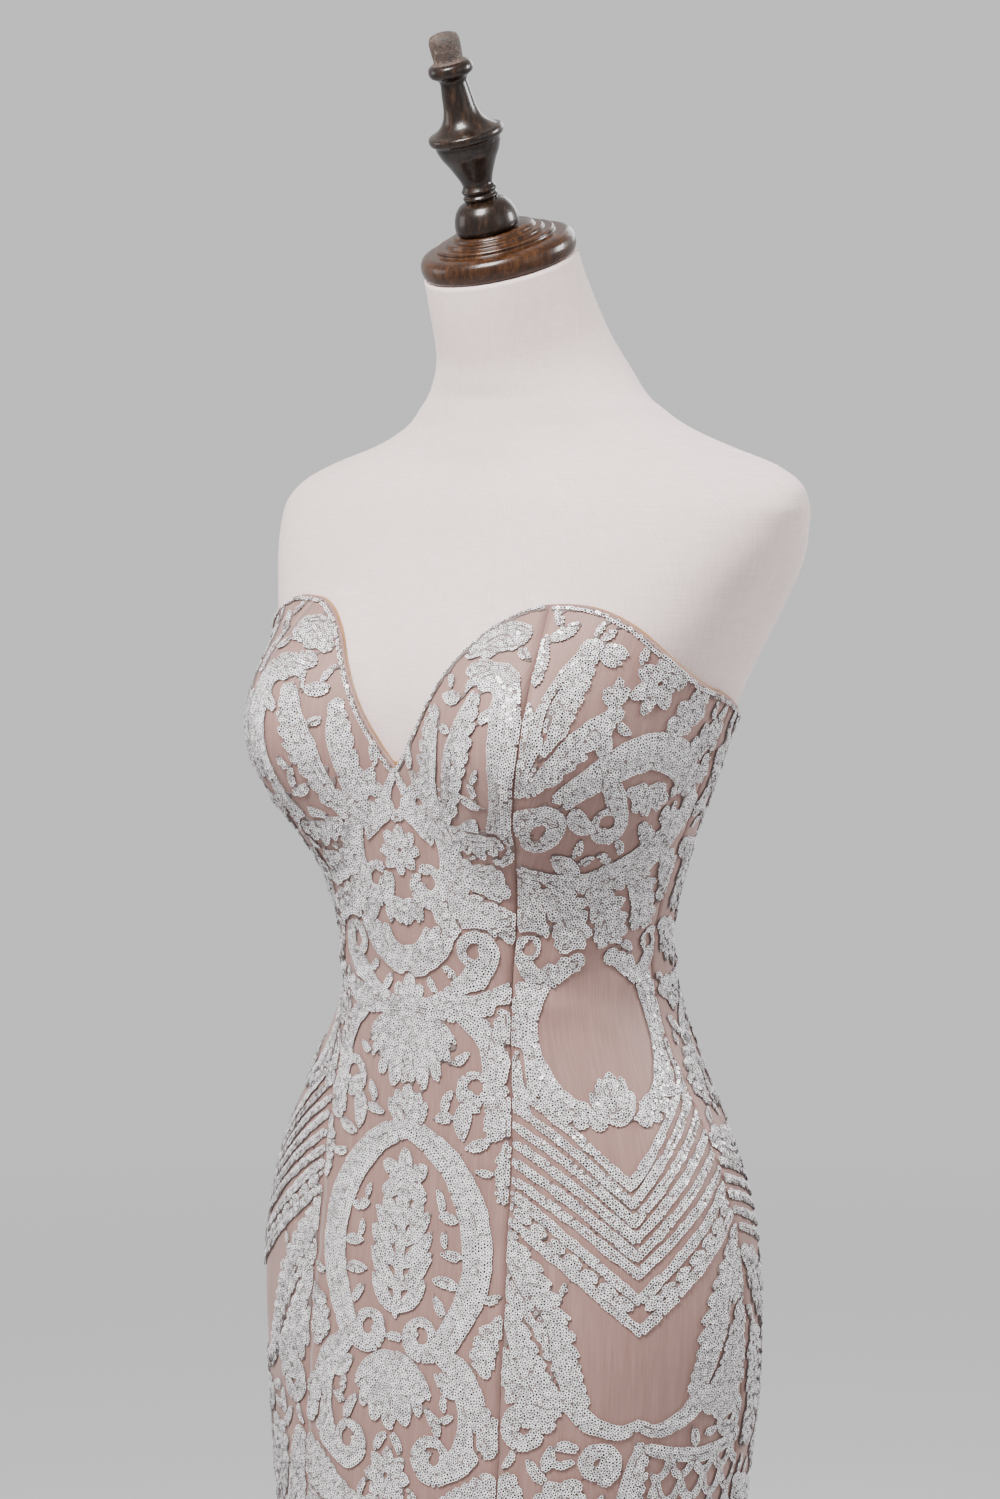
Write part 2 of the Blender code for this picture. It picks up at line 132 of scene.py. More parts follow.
# Where the seams run, in degrees round from the centre front.
# height, princess_seam, side_seam
SEAMS = (
    (0.000, 30.0, 98.0),
    (0.300, 29.0, 98.0),
    (0.600, 27.5, 98.0),
    (0.766, 26.4, 98.0),
    (0.860, 24.8, 98.0),
    (0.925, 25.0, 97.5),
    (0.975, 28.0, 97.0),
    (1.030, 33.2, 96.5),
    (1.080, 37.2, 96.5),
    (1.112, 38.0, 97.0),
    (1.150, 35.9, 97.5),
    (1.190, 32.9, 98.0),
    (1.235, 32.4, 98.0),
    (1.275, 30.2, 98.0),
    (1.320, 24.5, 98.0),
)
# Soft flutes of the flared hem: where each stands, how far it swings, how wide.
# degrees, rise, half_width_degrees
FLUTES = (
    (0.0, 0.040, 19.0),
    (41.0, 0.050, 20.0),
    (86.0, 0.044, 22.0),
    (129.0, 0.056, 20.0),
    (168.0, 0.060, 18.0),
    (-44.0, 0.046, 21.0),
    (-88.0, 0.050, 20.0),
    (-132.0, 0.054, 21.0),
)
FLUTE_START_Z = 0.600
# Rows of the panels: level ones up to this height, then shares of the way to
# the top edge.
LEVEL_ROWS = (
    0.004, 0.030, 0.065, 0.105, 0.150, 0.200, 0.250, 0.300, 0.355, 0.415,
    0.480, 0.550, 0.620, 0.690, 0.750, 0.802, 0.846, 0.888, 0.928, 0.966,
    1.002, 1.036, 1.066, 1.096, 1.128,
)
TOP_SHARES = (0.16, 0.32, 0.48, 0.64, 0.80, 0.92, 1.0)
FACING_SHARES = (0.80, 0.92, 1.0)
# Rows of the form's torso under the dress, over the chest and over the shoulders.
TORSO_ROWS = (0.802, 0.888, 0.966, 1.002, 1.036, 1.066, 1.096, 1.128)
CHEST_SHARES = (0.22, 0.48, 0.75, 1.0)
CHEST_CEILING = 1.345
SHOULDER_ROWS = (1.360, 1.374, 1.386, 1.396, 1.405, 1.414, 1.426, 1.440)
# Pieces as cut: name, from seam, to seam, columns of quads
PANELS = (
    ("front_panel", -1, 1, 16),
    ("side_front_left", 1, 2, 12),
    ("side_front_right", -2, -1, 12),
    ("back_left", 2, 3, 13),
    ("back_right", -3, -2, 13),
)
# Turned profiles: radius, height up the axis from the cap's seat.
CAP_PROFILE = (
    (0.0478, 0.0000), (0.0490, 0.0012), (0.0500, 0.0038), (0.0504, 0.0072),
    (0.0497, 0.0108), (0.0476, 0.0134), (0.0440, 0.0146), (0.0390, 0.0149),
    (0.0382, 0.0160), (0.0382, 0.0172), (0.0370, 0.0181), (0.0326, 0.0183),
    (0.0318, 0.0196), (0.0310, 0.0206), (0.0272, 0.0210), (0.0264, 0.0224),
    (0.0254, 0.0234),
)
FINIAL_FORWARD = 0.0045  # the finial is screwed in this far before the cap's middle
FINIAL_LEAN = LEAN + math.radians(1.5)  # and leans a little more than the neck
FINIAL_PROFILE = (
    (0.0188, 0.0000), (0.0203, 0.0018), (0.0206, 0.0052), (0.0198, 0.0096),
    (0.0180, 0.0140), (0.0150, 0.0176), (0.0118, 0.0192), (0.0102, 0.0198),
    (0.0110, 0.0212), (0.0113, 0.0224), (0.0102, 0.0240), (0.0108, 0.0254),
    (0.0113, 0.0268), (0.0104, 0.0284), (0.0096, 0.0306), (0.0112, 0.0354),
    (0.0150, 0.0436), (0.0186, 0.0500), (0.0206, 0.0556), (0.0210, 0.0584),
    (0.0232, 0.0598), (0.0241, 0.0622), (0.0234, 0.0646), (0.0200, 0.0660),
    (0.0152, 0.0694), (0.0122, 0.0738), (0.0104, 0.0800), (0.0094, 0.0890),
    (0.0086, 0.0962), (0.0098, 0.0990), (0.0132, 0.1012), (0.0143, 0.1042),
    (0.0134, 0.1074), (0.0104, 0.1092), (0.0094, 0.1108), (0.0097, 0.1160),
    (0.0098, 0.1220), (0.0086, 0.1256), (0.0050, 0.1272),
)
POLE_RADIUS = 0.0125
SOCKET_PROFILE = ((0.030, 0.0), (0.034, 0.004), (0.034, 0.012), (0.024, 0.020))
BASE_PROFILE = (
    (0.1360, 0.0000), (0.1400, 0.0030), (0.1400, 0.0120), (0.1375, 0.0165),
    (0.1310, 0.0190), (0.1190, 0.0200), (0.1160, 0.0225), (0.1100, 0.0245),
    (0.0500, 0.0290), (0.0360, 0.0330), (0.0280, 0.0430), (0.0240, 0.0560),
    (0.0215, 0.0600),
)


# ------------------------------------------------------------- the figure's form
def smooth_column(rows, column, at):
    """A table's column read between its rows by a smooth curve through them."""
    rows = np.asarray(rows, float)
    x, y = rows[:, 0], rows[:, column]
    slope = np.diff(y) / np.diff(x)
    tangent = np.empty_like(y)
    tangent[0], tangent[-1] = slope[0], slope[-1]
    before, after = np.diff(x)[:-1], np.diff(x)[1:]
    tangent[1:-1] = (slope[:-1] * after + slope[1:] * before) / (before + after)
    at = np.clip(np.asarray(at, float), x[0], x[-1])
    i = np.clip(np.searchsorted(x, at, side="right") - 1, 0, len(x) - 2)
    h = x[i + 1] - x[i]
    t = (at - x[i]) / h
    return (
        y[i] * (1 + 2 * t) * (1 - t) ** 2
        + tangent[i] * h * t * (1 - t) ** 2
        + y[i + 1] * t * t * (3 - 2 * t)
        - tangent[i + 1] * h * t * t * (1 - t)
    )


def flute_swing(theta, z):
    """How far the hem's flutes carry the skirt out or in, at an angle and height."""
    deg = np.degrees(theta)
    grown = np.clip((FLUTE_START_Z - z) / FLUTE_START_Z, 0, 1) ** 1.8
    swing = np.zeros(np.broadcast(theta, z).shape)
    for centre, rise, half in FLUTES:
        away = (deg - centre + 180.0) % 360.0 - 180.0
        near = np.clip(np.abs(away) / half, 0, 1)
        swing = swing + rise * (0.5 + 0.5 * np.cos(np.pi * near))
    return grown * (swing - 0.024)


def surface(theta, z):
    """The dress's outer face, and above its top edge the form's, at an angle round
    from the centre front (positive towards the wearer's left) and a height."""
    theta, z = np.broadcast_arrays(np.asarray(theta, float), np.asarray(z, float))
    half = smooth_column(FIGURE, 1, z)
    front = smooth_column(FIGURE, 2, z)
    back = smooth_column(FIGURE, 3, z)
    centre = smooth_column(FIGURE, 4, z)
    power = 2.0 / smooth_column(FIGURE, 5, z)
    s, c = np.sin(theta), np.cos(theta)
    swing = flute_swing(theta, z)
    x = half * np.sign(s) * np.abs(s) ** power
    y = centre - np.where(c > 0, front, back) * np.sign(c) * np.abs(c) ** power
    x = x + swing * s
    y = y - swing * c
    lift = z - BUST_Z
    up = lift / np.where(lift > 0, CUP_REACH_UP, CUP_REACH_DOWN)
    for side in (-1, 1):
        r2 = ((x - side * CUP_X) / CUP_REACH_X) ** 2 + up**2
        rise = np.where(c > 0, CUP_RISE * np.clip(1 - r2, 0, 1) ** 2, 0.0)
        x = x + side * rise * math.sin(CUP_OUTWARD)
        y = y - rise * math.cos(CUP_OUTWARD)
    return np.stack([x, y, z], axis=-1)


def moved_out(theta, z, distance):
    """Points of that face moved along its normal (in for a negative distance)."""
    d = 1e-4
    round_it = surface(theta + d, z) - surface(theta - d, z)
    up_it = surface(theta, z + d) - surface(theta, z - d)
    normal = np.cross(round_it, up_it)
    normal /= np.maximum(np.linalg.norm(normal, axis=-1, keepdims=True), 1e-12)
    return surface(theta, z) + normal * np.asarray(distance)[..., None]


def top_edge(theta):
    deg = np.abs((np.degrees(theta) + 180.0) % 360.0 - 180.0)
    return smooth_column(TOP_EDGE, 1, deg)


def seam_angle(number, z):
    """Seam 1 is the princess seam, 2 the side seam and 3 the centre back."""
    if abs(number) == 3:
        deg = np.full(np.shape(z), 180.0)
    else:
        deg = smooth_column(SEAMS, abs(number), z)
    return np.radians(deg) * np.sign(number)


def columns_at(start, end, columns, z):
    """Angles of evenly spaced columns between two seams, at heights z."""
    u = np.linspace(0, 1, columns + 1)
    a, b = seam_angle(start, z), seam_angle(end, z)
    return a + (b - a) * u


def panel_rows(start, end, columns, levels, shares, ceiling=None):
    """Angles and heights of points up and round a panel: level rows, then rows a
    share of the way from the last level to the top edge, or from there to a
    level ceiling."""
    flat = np.zeros(columns + 1)
    rows = [(columns_at(start, end, columns, flat + z), flat + z) for z in levels]
    for share in shares:
        z = flat + LEVEL_ROWS[-1]
        for _ in range(8):
            theta = columns_at(start, end, columns, z)
            edge = top_edge(theta)
            low, high = (LEVEL_ROWS[-1], edge) if ceiling is None else (edge, ceiling)
            z = low + share * (high - low)
        rows.append((theta, z))
    return np.array([r[0] for r in rows]), np.array([r[1] for r in rows])


def panel_grid(start, end, columns):
    """A panel's own points; each long edge stands half a gap from its seam."""
    theta, z = panel_rows(start, end, columns, LEVEL_ROWS, TOP_SHARES)
    back_off = SEAM_GAP / 2 + 0.00001
    for column, turn in ((0, 1), (-1, -1)):
        a, h = theta[:, column], z[:, column]
        step = np.linalg.norm(surface(a + 1e-3, h) - surface(a - 1e-3, h), axis=-1)
        theta[:, column] += turn * back_off / (step / 2e-3)
    return theta, z


def round_rows(levels, shares, ceiling=None):
    """The same rows carried all round, from the centre back to the centre back."""
    parts = [
        panel_rows(start, end, columns, levels, shares, ceiling)
        for _, start, end, columns in sorted(PANELS, key=lambda p: p[1])
    ]
    kept = [(t[:, :-1], z[:, :-1]) for t, z in parts[:-1]] + [parts[-1]]
    return (
        np.concatenate([t for t, _ in kept], axis=1),
        np.concatenate([z for _, z in kept], axis=1),
    )


# ------------------------------------------------------- the cloth's soft creases
# Each is a soft trough (below zero) or ridge along a short bent line.
# degrees, height, tilt_degrees, half_length, half_width, out, bend
CREASES = (
    (35.0, 1.205, 74.0, 0.034, 0.0050, -0.0016, 1.5),
    (31.5, 1.232, 98.0, 0.026, 0.0042, -0.0013, -2.0),
    (41.0, 1.172, 60.0, 0.026, 0.0060, 0.0012, 0.0),
    (-33.0, 1.212, 106.0, 0.030, 0.0050, -0.0014, -1.5),
    (-36.0, 1.180, 118.0, 0.026, 0.0060, 0.0012, 0.0),
    (48.0, 1.108, 14.0, 0.044, 0.0052, -0.0014, 1.0),
    (55.0, 1.093, 8.0, 0.050, 0.0060, 0.0016, 0.8),
    (44.0, 1.077, -6.0, 0.040, 0.0052, -0.0013, -0.6),
    (60.0, 1.062, -12.0, 0.046, 0.0062, 0.0013, -1.0),
    (70.0, 1.118, 22.0, 0.036, 0.0055, 0.0013, 1.0),
    (86.0, 1.100, 12.0, 0.034, 0.0055, -0.0013, 0.5),
    (84.0, 1.075, -8.0, 0.036, 0.0060, 0.0015, -0.8),
    (12.0, 1.100, 6.0, 0.036, 0.0055, 0.0012, 0.8),
    (-8.0, 1.082, -5.0, 0.040, 0.0050, -0.0012, -0.6),
    (4.0, 1.064, 3.0, 0.044, 0.0060, 0.0013, 0.4),
    (-46.0, 1.104, -12.0, 0.042, 0.0055, -0.0013, 1.0),
    (-56.0, 1.084, -6.0, 0.046, 0.0060, 0.0015, 0.8),
    (-64.0, 1.066, 9.0, 0.040, 0.0060, -0.0012, -0.8),
    (-80.0, 1.096, 10.0, 0.036, 0.0055, 0.0014, 0.0),
    (112.0, 1.098, -10.0, 0.044, 0.0060, -0.0014, 0.6),
    (128.0, 1.080, 6.0, 0.050, 0.0062, 0.0016, 0.6),
    (150.0, 1.106, -8.0, 0.046, 0.0060, -0.0013, -0.5),
    (166.0, 1.088, 5.0, 0.040, 0.0060, 0.0014, 0.5),
    (-118.0, 1.100, 10.0, 0.046, 0.0060, 0.0015, 0.6),
    (-136.0, 1.082, -6.0, 0.050, 0.0060, -0.0014, 0.6),
    (-158.0, 1.102, 8.0, 0.044, 0.0060, 0.0014, -0.5),
    (64.0, 1.006, -38.0, 0.040, 0.0070, 0.0012, 0.8),
    (80.0, 0.976, -46.0, 0.044, 0.0075, -0.0012, 0.6),
    (-68.0, 1.000, 40.0, 0.042, 0.0072, 0.0012, 0.8),
    (20.0, 0.972, 62.0, 0.040, 0.0080, 0.0010, 0.0),
    (-18.0, 0.930, -64.0, 0.044, 0.0080, 0.0010, 0.0),
    (50.0, 0.830, 80.0, 0.060, 0.0090, 0.0011, 0.4),
    (74.0, 0.800, 98.0, 0.064, 0.0100, -0.0011, 0.4),
    (-50.0, 0.820, 98.0, 0.060, 0.0095, 0.0012, 0.4),
    (120.0, 0.900, 66.0, 0.056, 0.0090, 0.0012, 0.6),
    (-126.0, 0.890, 112.0, 0.058, 0.0090, 0.0012, 0.6),
    (30.0, 0.600, 20.0, 0.060, 0.0120, -0.0020, 0.6),
    (-24.0, 0.575, -16.0, 0.064, 0.0120, 0.0022, 0.6),
    (66.0, 0.560, -22.0, 0.060, 0.0130, 0.0022, 0.6),
    (110.0, 0.590, 18.0, 0.064, 0.0120, -0.0020, 0.6),
    (150.0, 0.565, -14.0, 0.064, 0.0130, 0.0024, 0.6),
    (-70.0, 0.590, 24.0, 0.060, 0.0120, -0.0020, 0.6),
    (-112.0, 0.570, -18.0, 0.064, 0.0130, 0.0022, 0.6),
    (-156.0, 0.595, 16.0, 0.064, 0.0120, -0.0020, 0.6),
)


DEEPEST = 0.0016  # the cloth's deepest crease still clears the form

# seam, valley_depth
SEAM_VALLEYS = ((1, 0.0009), (-1, 0.0009), (2, 0.0008), (-2, 0.0008), (3, 0.0008))


def crease(theta, z):
    """How far the cloth stands off its plain form, at an angle and a height."""
    deg = np.degrees(theta)
    total = np.zeros(np.broadcast(theta, z).shape)
    for at, height, tilt, half_length, half_width, out, bend in CREASES:
        away = ((deg - at + 180.0) % 360.0 - 180.0) * (math.pi / 180.0 * 0.15)
        up = z - height
        c, s = math.cos(math.radians(tilt)), math.sin(math.radians(tilt))
        along, across = away * c + up * s, up * c - away * s
        across = across - bend * along**2 * 4.0
        uneven = 1.0 + 0.3 * np.sin(along / half_length * 2.6 + at)
        total = total + out * uneven * np.exp(
            -((along / half_length) ** 2) - (across / half_width) ** 2
        )
    # each seam sits in a narrow valley, and the cloth puckers a little beside it
    for number, depth in SEAM_VALLEYS:
        away = (deg - np.degrees(seam_angle(number, z)) + 180.0) % 360.0 - 180.0
        away = away * (math.pi / 180.0 * 0.15)
        ripple = np.sin(z * 331.0 + number * 1.7) + 0.8 * np.sin(z * 203.0 + number * 0.9)
        total = total + 0.00036 * ripple * np.exp(-((away / 0.0085) ** 2))
        total = total - depth * np.exp(-((away / 0.0026) ** 2))
    # the facing lies close behind the top of the cloth, and the form behind the rest
    free = np.clip((1.128 + 0.80 * (top_edge(theta) - 1.128) - z) / 0.012, 0, 1)
    return np.maximum(total, -DEEPEST * free)


# The creased face and its normals, kept on a fine net of angles and heights.
NET_STEP_Z, NET_STEP_DEG = 0.002, 0.5
NET_Z = np.arange(0.0, 1.3361, NET_STEP_Z)
NET_T = np.radians(np.arange(-180.0, 180.01, NET_STEP_DEG))


def build_net():
    theta, z = np.meshgrid(NET_T, NET_Z)
    points = moved_out(theta, z, crease(theta, z))
    up = np.gradient(points, axis=0)
    round_it = np.gradient(points, axis=1)
    normal = np.cross(round_it, up)
    normal /= np.maximum(np.linalg.norm(normal, axis=-1, keepdims=True), 1e-12)
    return points, normal


NET_POINTS, NET_NORMALS = build_net()


def two_way(table, row, column):
    """A table read between its rows and columns."""
    row = np.clip(row, 0, table.shape[0] - 1.000001)
    column = np.clip(column, 0, table.shape[1] - 1.000001)
    r, c = row.astype(int), column.astype(int)
    fr, fc = row - r, column - c
    if table.ndim == 3:
        fr, fc = fr[..., None], fc[..., None]
    return (
        table[r, c] * (1 - fr) * (1 - fc)
        + table[r, c + 1] * (1 - fr) * fc
        + table[r + 1, c] * fr * (1 - fc)
        + table[r + 1, c + 1] * fr * fc
    )


def on_skin(theta, z, out=0.0):
    """Points on the creased face, moved out along its normal, and the normals."""
    row = np.asarray(z) / NET_STEP_Z
    column = (np.degrees(theta) + 180.0) / NET_STEP_DEG
    points = two_way(NET_POINTS, row, column)
    normals = two_way(NET_NORMALS, row, column)
    normals /= np.linalg.norm(normals, axis=-1, keepdims=True)
    return points + normals * np.asarray(out)[..., None], normals


# ------------------------------------------------- a panel's own flat coordinates
PLAIN_FROM = 0.62  # above this a panel's length is read as its height


class Panel:
    """Maps a panel's flat coordinates, across from its middle and up, to the dress."""

    def __init__(self, name, start, end):
        self.name, self.start, self.end = name, start, end
        rows = NET_Z
        step = np.linalg.norm(np.diff(NET_POINTS, axis=1), axis=-1)
        run = np.concatenate([np.zeros((len(rows), 1)), np.cumsum(step, axis=1)], axis=1)
        zero = (len(NET_T) - 1) // 2
        run -= run[:, zero : zero + 1]
        a, b = seam_angle(start, rows), seam_angle(end, rows)
        at = [
            (np.interp(a[k], NET_T, run[k]), np.interp(b[k], NET_T, run[k]))
            for k in range(len(rows))
        ]
        low, high = np.array(at).T
        self.half = (high - low) / 2
        self.widest = self.half.max() + 0.004
        self.across = np.arange(-self.widest, self.widest + 0.0025, 0.0025)
        middle = (low + high) / 2
        self.theta = np.array(
            [np.interp(self.across + middle[k], run[k], NET_T) for k in range(len(rows))]
        )
        mid_theta = np.array(
            [np.interp(middle[k], run[k], NET_T) for k in range(len(rows))]
        )
        line = surface(mid_theta, rows)
        climb = np.concatenate([[0], np.cumsum(np.linalg.norm(np.diff(line, axis=0), axis=-1))])
        plain = np.interp(PLAIN_FROM, rows, climb)
        self.up = np.where(rows < PLAIN_FROM, PLAIN_FROM + climb - plain, rows)
        self.rows = rows

    def place(self, across, up):
        """Angles and heights of points given across and up the panel."""
        z = np.interp(up, self.up, self.rows)
        theta = two_way(
            self.theta, z / NET_STEP_Z, (across - self.across[0]) / 0.0025
        )
        return theta, z

    def half_at(self, up):
        return np.interp(up, self.up, self.half)


# -------------------------------------------------- the embroidery's own drawing
# A panel's drawing is a list of strokes in millimetres, across from the panel's
# middle and up: points with half widths, laid down (add) or cut away.
def smooth_line(points, step=2.6):
    """A run of points on a smooth curve through some points with half widths."""
    p = np.asarray(points, float)
    if len(p) == 2:
        count = max(2, int(np.linalg.norm(p[1, :2] - p[0, :2]) / step) + 1)
        return p[0] + (p[1] - p[0]) * np.linspace(0, 1, count)[:, None]
    q = np.concatenate([[2 * p[0] - p[1]], p, [2 * p[-1] - p[-2]]])
    out = []
    for i in range(len(p) - 1):
        a, b, c, d = q[i : i + 4]
        count = max(2, int(np.linalg.norm(c[:2] - b[:2]) / step) + 1)
        t = np.linspace(0, 1, count, endpoint=False)[:, None]
        out.append(
            0.5
            * (
                2 * b
                + (c - a) * t
                + (2 * a - 5 * b + 4 * c - d) * t**2
                + (3 * b - a - 3 * c + d) * t**3
            )
        )
    out.append(p[-1:])
    run = np.concatenate(out)
    run[:, 2] = np.clip(run[:, 2], 0.3, None)
    return run


class Drawing:
    """Collects strokes: runs of points with half widths, laid on or cut out."""

    def __init__(self):
        self.strokes = []

    def lay(self, run, cut=False):
        self.strokes.append((np.array(run, float), cut))

    def line(self, *points, cut=False):
        self.lay(smooth_line(points), cut)

    def stand_off(self, since, root=None, gap=3.2, near=7.0, far=17.0):
        """Clears a channel round what was laid since, except about its root, so
        that it shows over what lies under it."""
        made = self.strokes[since:]
        cleared = []
        for run, cut in made:
            if not cut:
                wider = run.copy()
                grow = 1.0
                if root is not None:
                    away = np.hypot(run[:, 0] - root[0], run[:, 1] - root[1])
                    grow = np.clip((away - near) / (far - near), 0, 1)
                wider[:, 2] += gap * grow
                cleared.append((wider, True))
        self.strokes[since:] = cleared + made

    def scallops(self, points, radius, pitch, side=1.0):
        """A row of round lobes along one side of a line."""
        run = smooth_line(points, 1.0)
        step = np.linalg.norm(np.diff(run[:, :2], axis=0), axis=1)
        along = np.concatenate([[0], np.cumsum(step)])
        direction = np.gradient(run[:, :2], axis=0)
        direction /= np.maximum(np.linalg.norm(direction, axis=1, keepdims=True), 1e-9)
        for s in np.arange(pitch / 2, along[-1], pitch):
            i = int(np.searchsorted(along, s))
            off = np.array([-direction[i, 1], direction[i, 0]]) * side * run[i, 2]
            x, y = run[i, :2] + off
            self.lay([(x, y, radius), (x + 0.1, y, radius)])

    def volute(self, x, y, radius, start, turns, wide, fine, eye=0.0):
        """A spiral that winds in from its rim, where it is wide, to its eye."""
        count = max(10, int(abs(turns) * 26))
        t = np.linspace(0, 1, count)
        angle = math.radians(start) + 2 * math.pi * turns * t
        r = radius * (1 - t) + (radius * 0.26 + eye) * t
        w = wide * (1 - t) + fine * t
        self.lay(np.stack([x + r * np.cos(angle), y + r * np.sin(angle), w], axis=1))

    def leaf(self, x, y, turn, length, wide, bend=0.0, lobes=0, full=0.42, sharp=0.9):
        """A leaf from its base: fat at a share of its length, bent to one side."""
        t = np.linspace(0, 1, max(8, int(length / 2.2)))
        a = math.radians(turn)
        px, py = length * t, bend * length * np.sin(math.pi * t * 0.5) ** 2 * t
        w = wide * np.where(
            t < full, np.sin(0.5 * math.pi * np.clip(t / full, 0, 1)) ** 0.6,
            np.cos(0.5 * math.pi * np.clip((t - full) / (1 - full), 0, 1)) ** sharp,
        )
        if lobes:
            w = w * (0.74 + 0.26 * np.abs(np.sin(math.pi * lobes * t)))
        c, s = math.cos(a), math.sin(a)
        run = np.stack([x + px * c - py * s, y + px * s + py * c, np.clip(w, 0.5, None)], axis=1)
        self.lay(run)

    def palmette(self, x, y, turn, petals, length, wide, spread, drop=0.72, slit=0.7):
        """A fan of leaves from one root, the middle one longest, slit apart."""
        since = len(self.strokes)
        for i in range(petals):
            t = i / (petals - 1) * 2 - 1
            a = turn + t * spread / 2
            reach = length * (1 - (1 - drop) * abs(t) ** 1.4)
            self.leaf(x, y, a, reach, wide, -0.16 * t, full=0.62, sharp=0.55)
        for i in range(petals - 1):
            t = ((i + 0.5) / (petals - 1)) * 2 - 1
            a = math.radians(turn + t * spread / 2)
            reach = length * (1 - (1 - drop) * abs(t) ** 1.4)
            c, s = math.cos(a), math.sin(a)
            self.line(
                (x + c * reach * 0.34, y + s * reach * 0.34, slit * 0.4),
                (x + c * reach * 0.80, y + s * reach * 0.80, slit),
                (x + c * reach * 1.10, y + s * reach * 1.10, slit * 1.6),
                cut=True,
            )
        self.stand_off(since, (x, y))

    def rosette(self, x, y, radius, petals, start=90.0, hole=0.0, wide=None):
        """A flower of pointed petals round a ring."""
        wide = wide or radius * 0.30
        since = len(self.strokes)
        for i in range(petals):
            self.leaf(x, y, start + 360.0 * i / petals, radius, wide, full=0.55, sharp=0.8)
        if hole:
            self.ring(x, y, radius * 0.30, radius * 0.16)
            self.line((x, y, hole), (x + 0.1, y, hole), cut=True)
        self.stand_off(since)

    def ring(self, x, y, radius, wide, start=0.0, share=1.0):
        t = np.linspace(0, 1, max(12, int(radius * 3)))
        a = math.radians(start) + 2 * math.pi * share * t
        self.lay(np.stack([x + radius * np.cos(a), y + radius * np.sin(a), wide + 0 * t], axis=1))

    def scroll(self, points, radius, hand, turns=1.2, fine=3.8, eye=2.2):
        """A band that runs on, without a break, into a spiral at its end."""
        run = smooth_line(points)
        since = len(self.strokes)
        self.lay(run)
        ahead = run[-1, :2] - run[-3, :2]
        a = math.atan2(ahead[1], ahead[0])
        side = np.array([-math.sin(a), math.cos(a)]) * hand
        centre = run[-1, :2] + side * radius
        start = math.atan2(-side[1], -side[0])
        count = max(12, int(turns * 28))
        t = np.linspace(0, 1, count)
        angle = start + hand * 2 * math.pi * turns * t
        r = radius * (1 - t) ** 0.9 + (radius * 0.22 + eye) * (1 - (1 - t) ** 0.9)
        w = run[-1, 2] * (1 - t) + fine * t
        self.lay(np.stack([centre[0] + r * np.cos(angle), centre[1] + r * np.sin(angle), w], axis=1))
        # its eye stays open, with a groove winding out of it
        back = np.linspace(0, 1, 10)
        angle = start + hand * 2 * math.pi * (turns - 0.72 * back)
        r = 1.2 + (radius * 0.60 - 1.2) * back**0.8
        w = 2.9 * (1 - back) ** 0.5 + 1.15 * back
        for a, b, h, a2, b2, h2 in zip(*(v[:-1] for v in (angle, r, w)), *(v[1:] for v in (angle, r, w))):
            p = (centre[0] + b * math.cos(a), centre[1] + b * math.sin(a), h)
            q = (centre[0] + b2 * math.cos(a2), centre[1] + b2 * math.sin(a2), h2)
            self.line(p, q, cut=True)
        self.stand_off(since, run[0])

    def frond(self, points, wide, tooth=7.5, gap=8.0, side=0, lean=50.0, slits=0):
        """A full leaf along a curve, its edges cut into forward teeth."""
        run = smooth_line([(x, y, 1.0) for x, y in points], 1.0)
        step = np.linalg.norm(np.diff(run[:, :2], axis=0), axis=1)
        along = np.concatenate([[0], np.cumsum(step)])
        t = along / along[-1]
        width = wide * np.sin(np.pi * np.clip(0.10 + 0.90 * t, 0, 1)) ** 0.65
        run[:, 2] = np.clip(width, 1.4, None)
        since = len(self.strokes)
        self.lay(run)
        direction = np.gradient(run[:, :2], axis=0)
        for s in (1, -1) if side == 0 else (side,):
            for a in np.arange(gap * (0.5 if s > 0 else 0.9), along[-1] - 2.0, gap):
                k = int(np.searchsorted(along, a))
                turn = math.degrees(math.atan2(direction[k, 1], direction[k, 0]))
                reach = run[k, 2] * 1.25 + tooth * (0.55 + 0.45 * math.sin(math.pi * t[k]))
                self.leaf(run[k, 0], run[k, 1], turn + s * lean, reach, tooth * 0.62, 0.18 * s, full=0.45, sharp=0.8)
        for n in range(slits):
            a0, a1 = (0.12 + 0.26 * n) * along[-1], (0.52 + 0.22 * n) * along[-1]
            k0, k1 = int(np.searchsorted(along, a0)), min(int(np.searchsorted(along, a1)), len(run) - 1)
            off = wide * (0.34 if n % 2 else -0.30)
            cut = []
            for k in np.linspace(k0, k1, 5).astype(int):
                d = direction[k] / max(np.linalg.norm(direction[k]), 1e-9)
                fade = math.sin(math.pi * (k - k0 + 4) / (k1 - k0 + 8))
                cut.append((run[k, 0] - d[1] * off * fade, run[k, 1] + d[0] * off * fade, 0.9))
            self.line(*cut, cut=True)
        self.stand_off(since, run[0])

    def mirrored(self):
        """Adds every stroke again, turned over the middle line."""
        both = []
        for run, cut in self.strokes:
            over = run.copy()
            over[:, 0] *= -1
            both += [(run, cut), (over, cut)]
        self.strokes = both


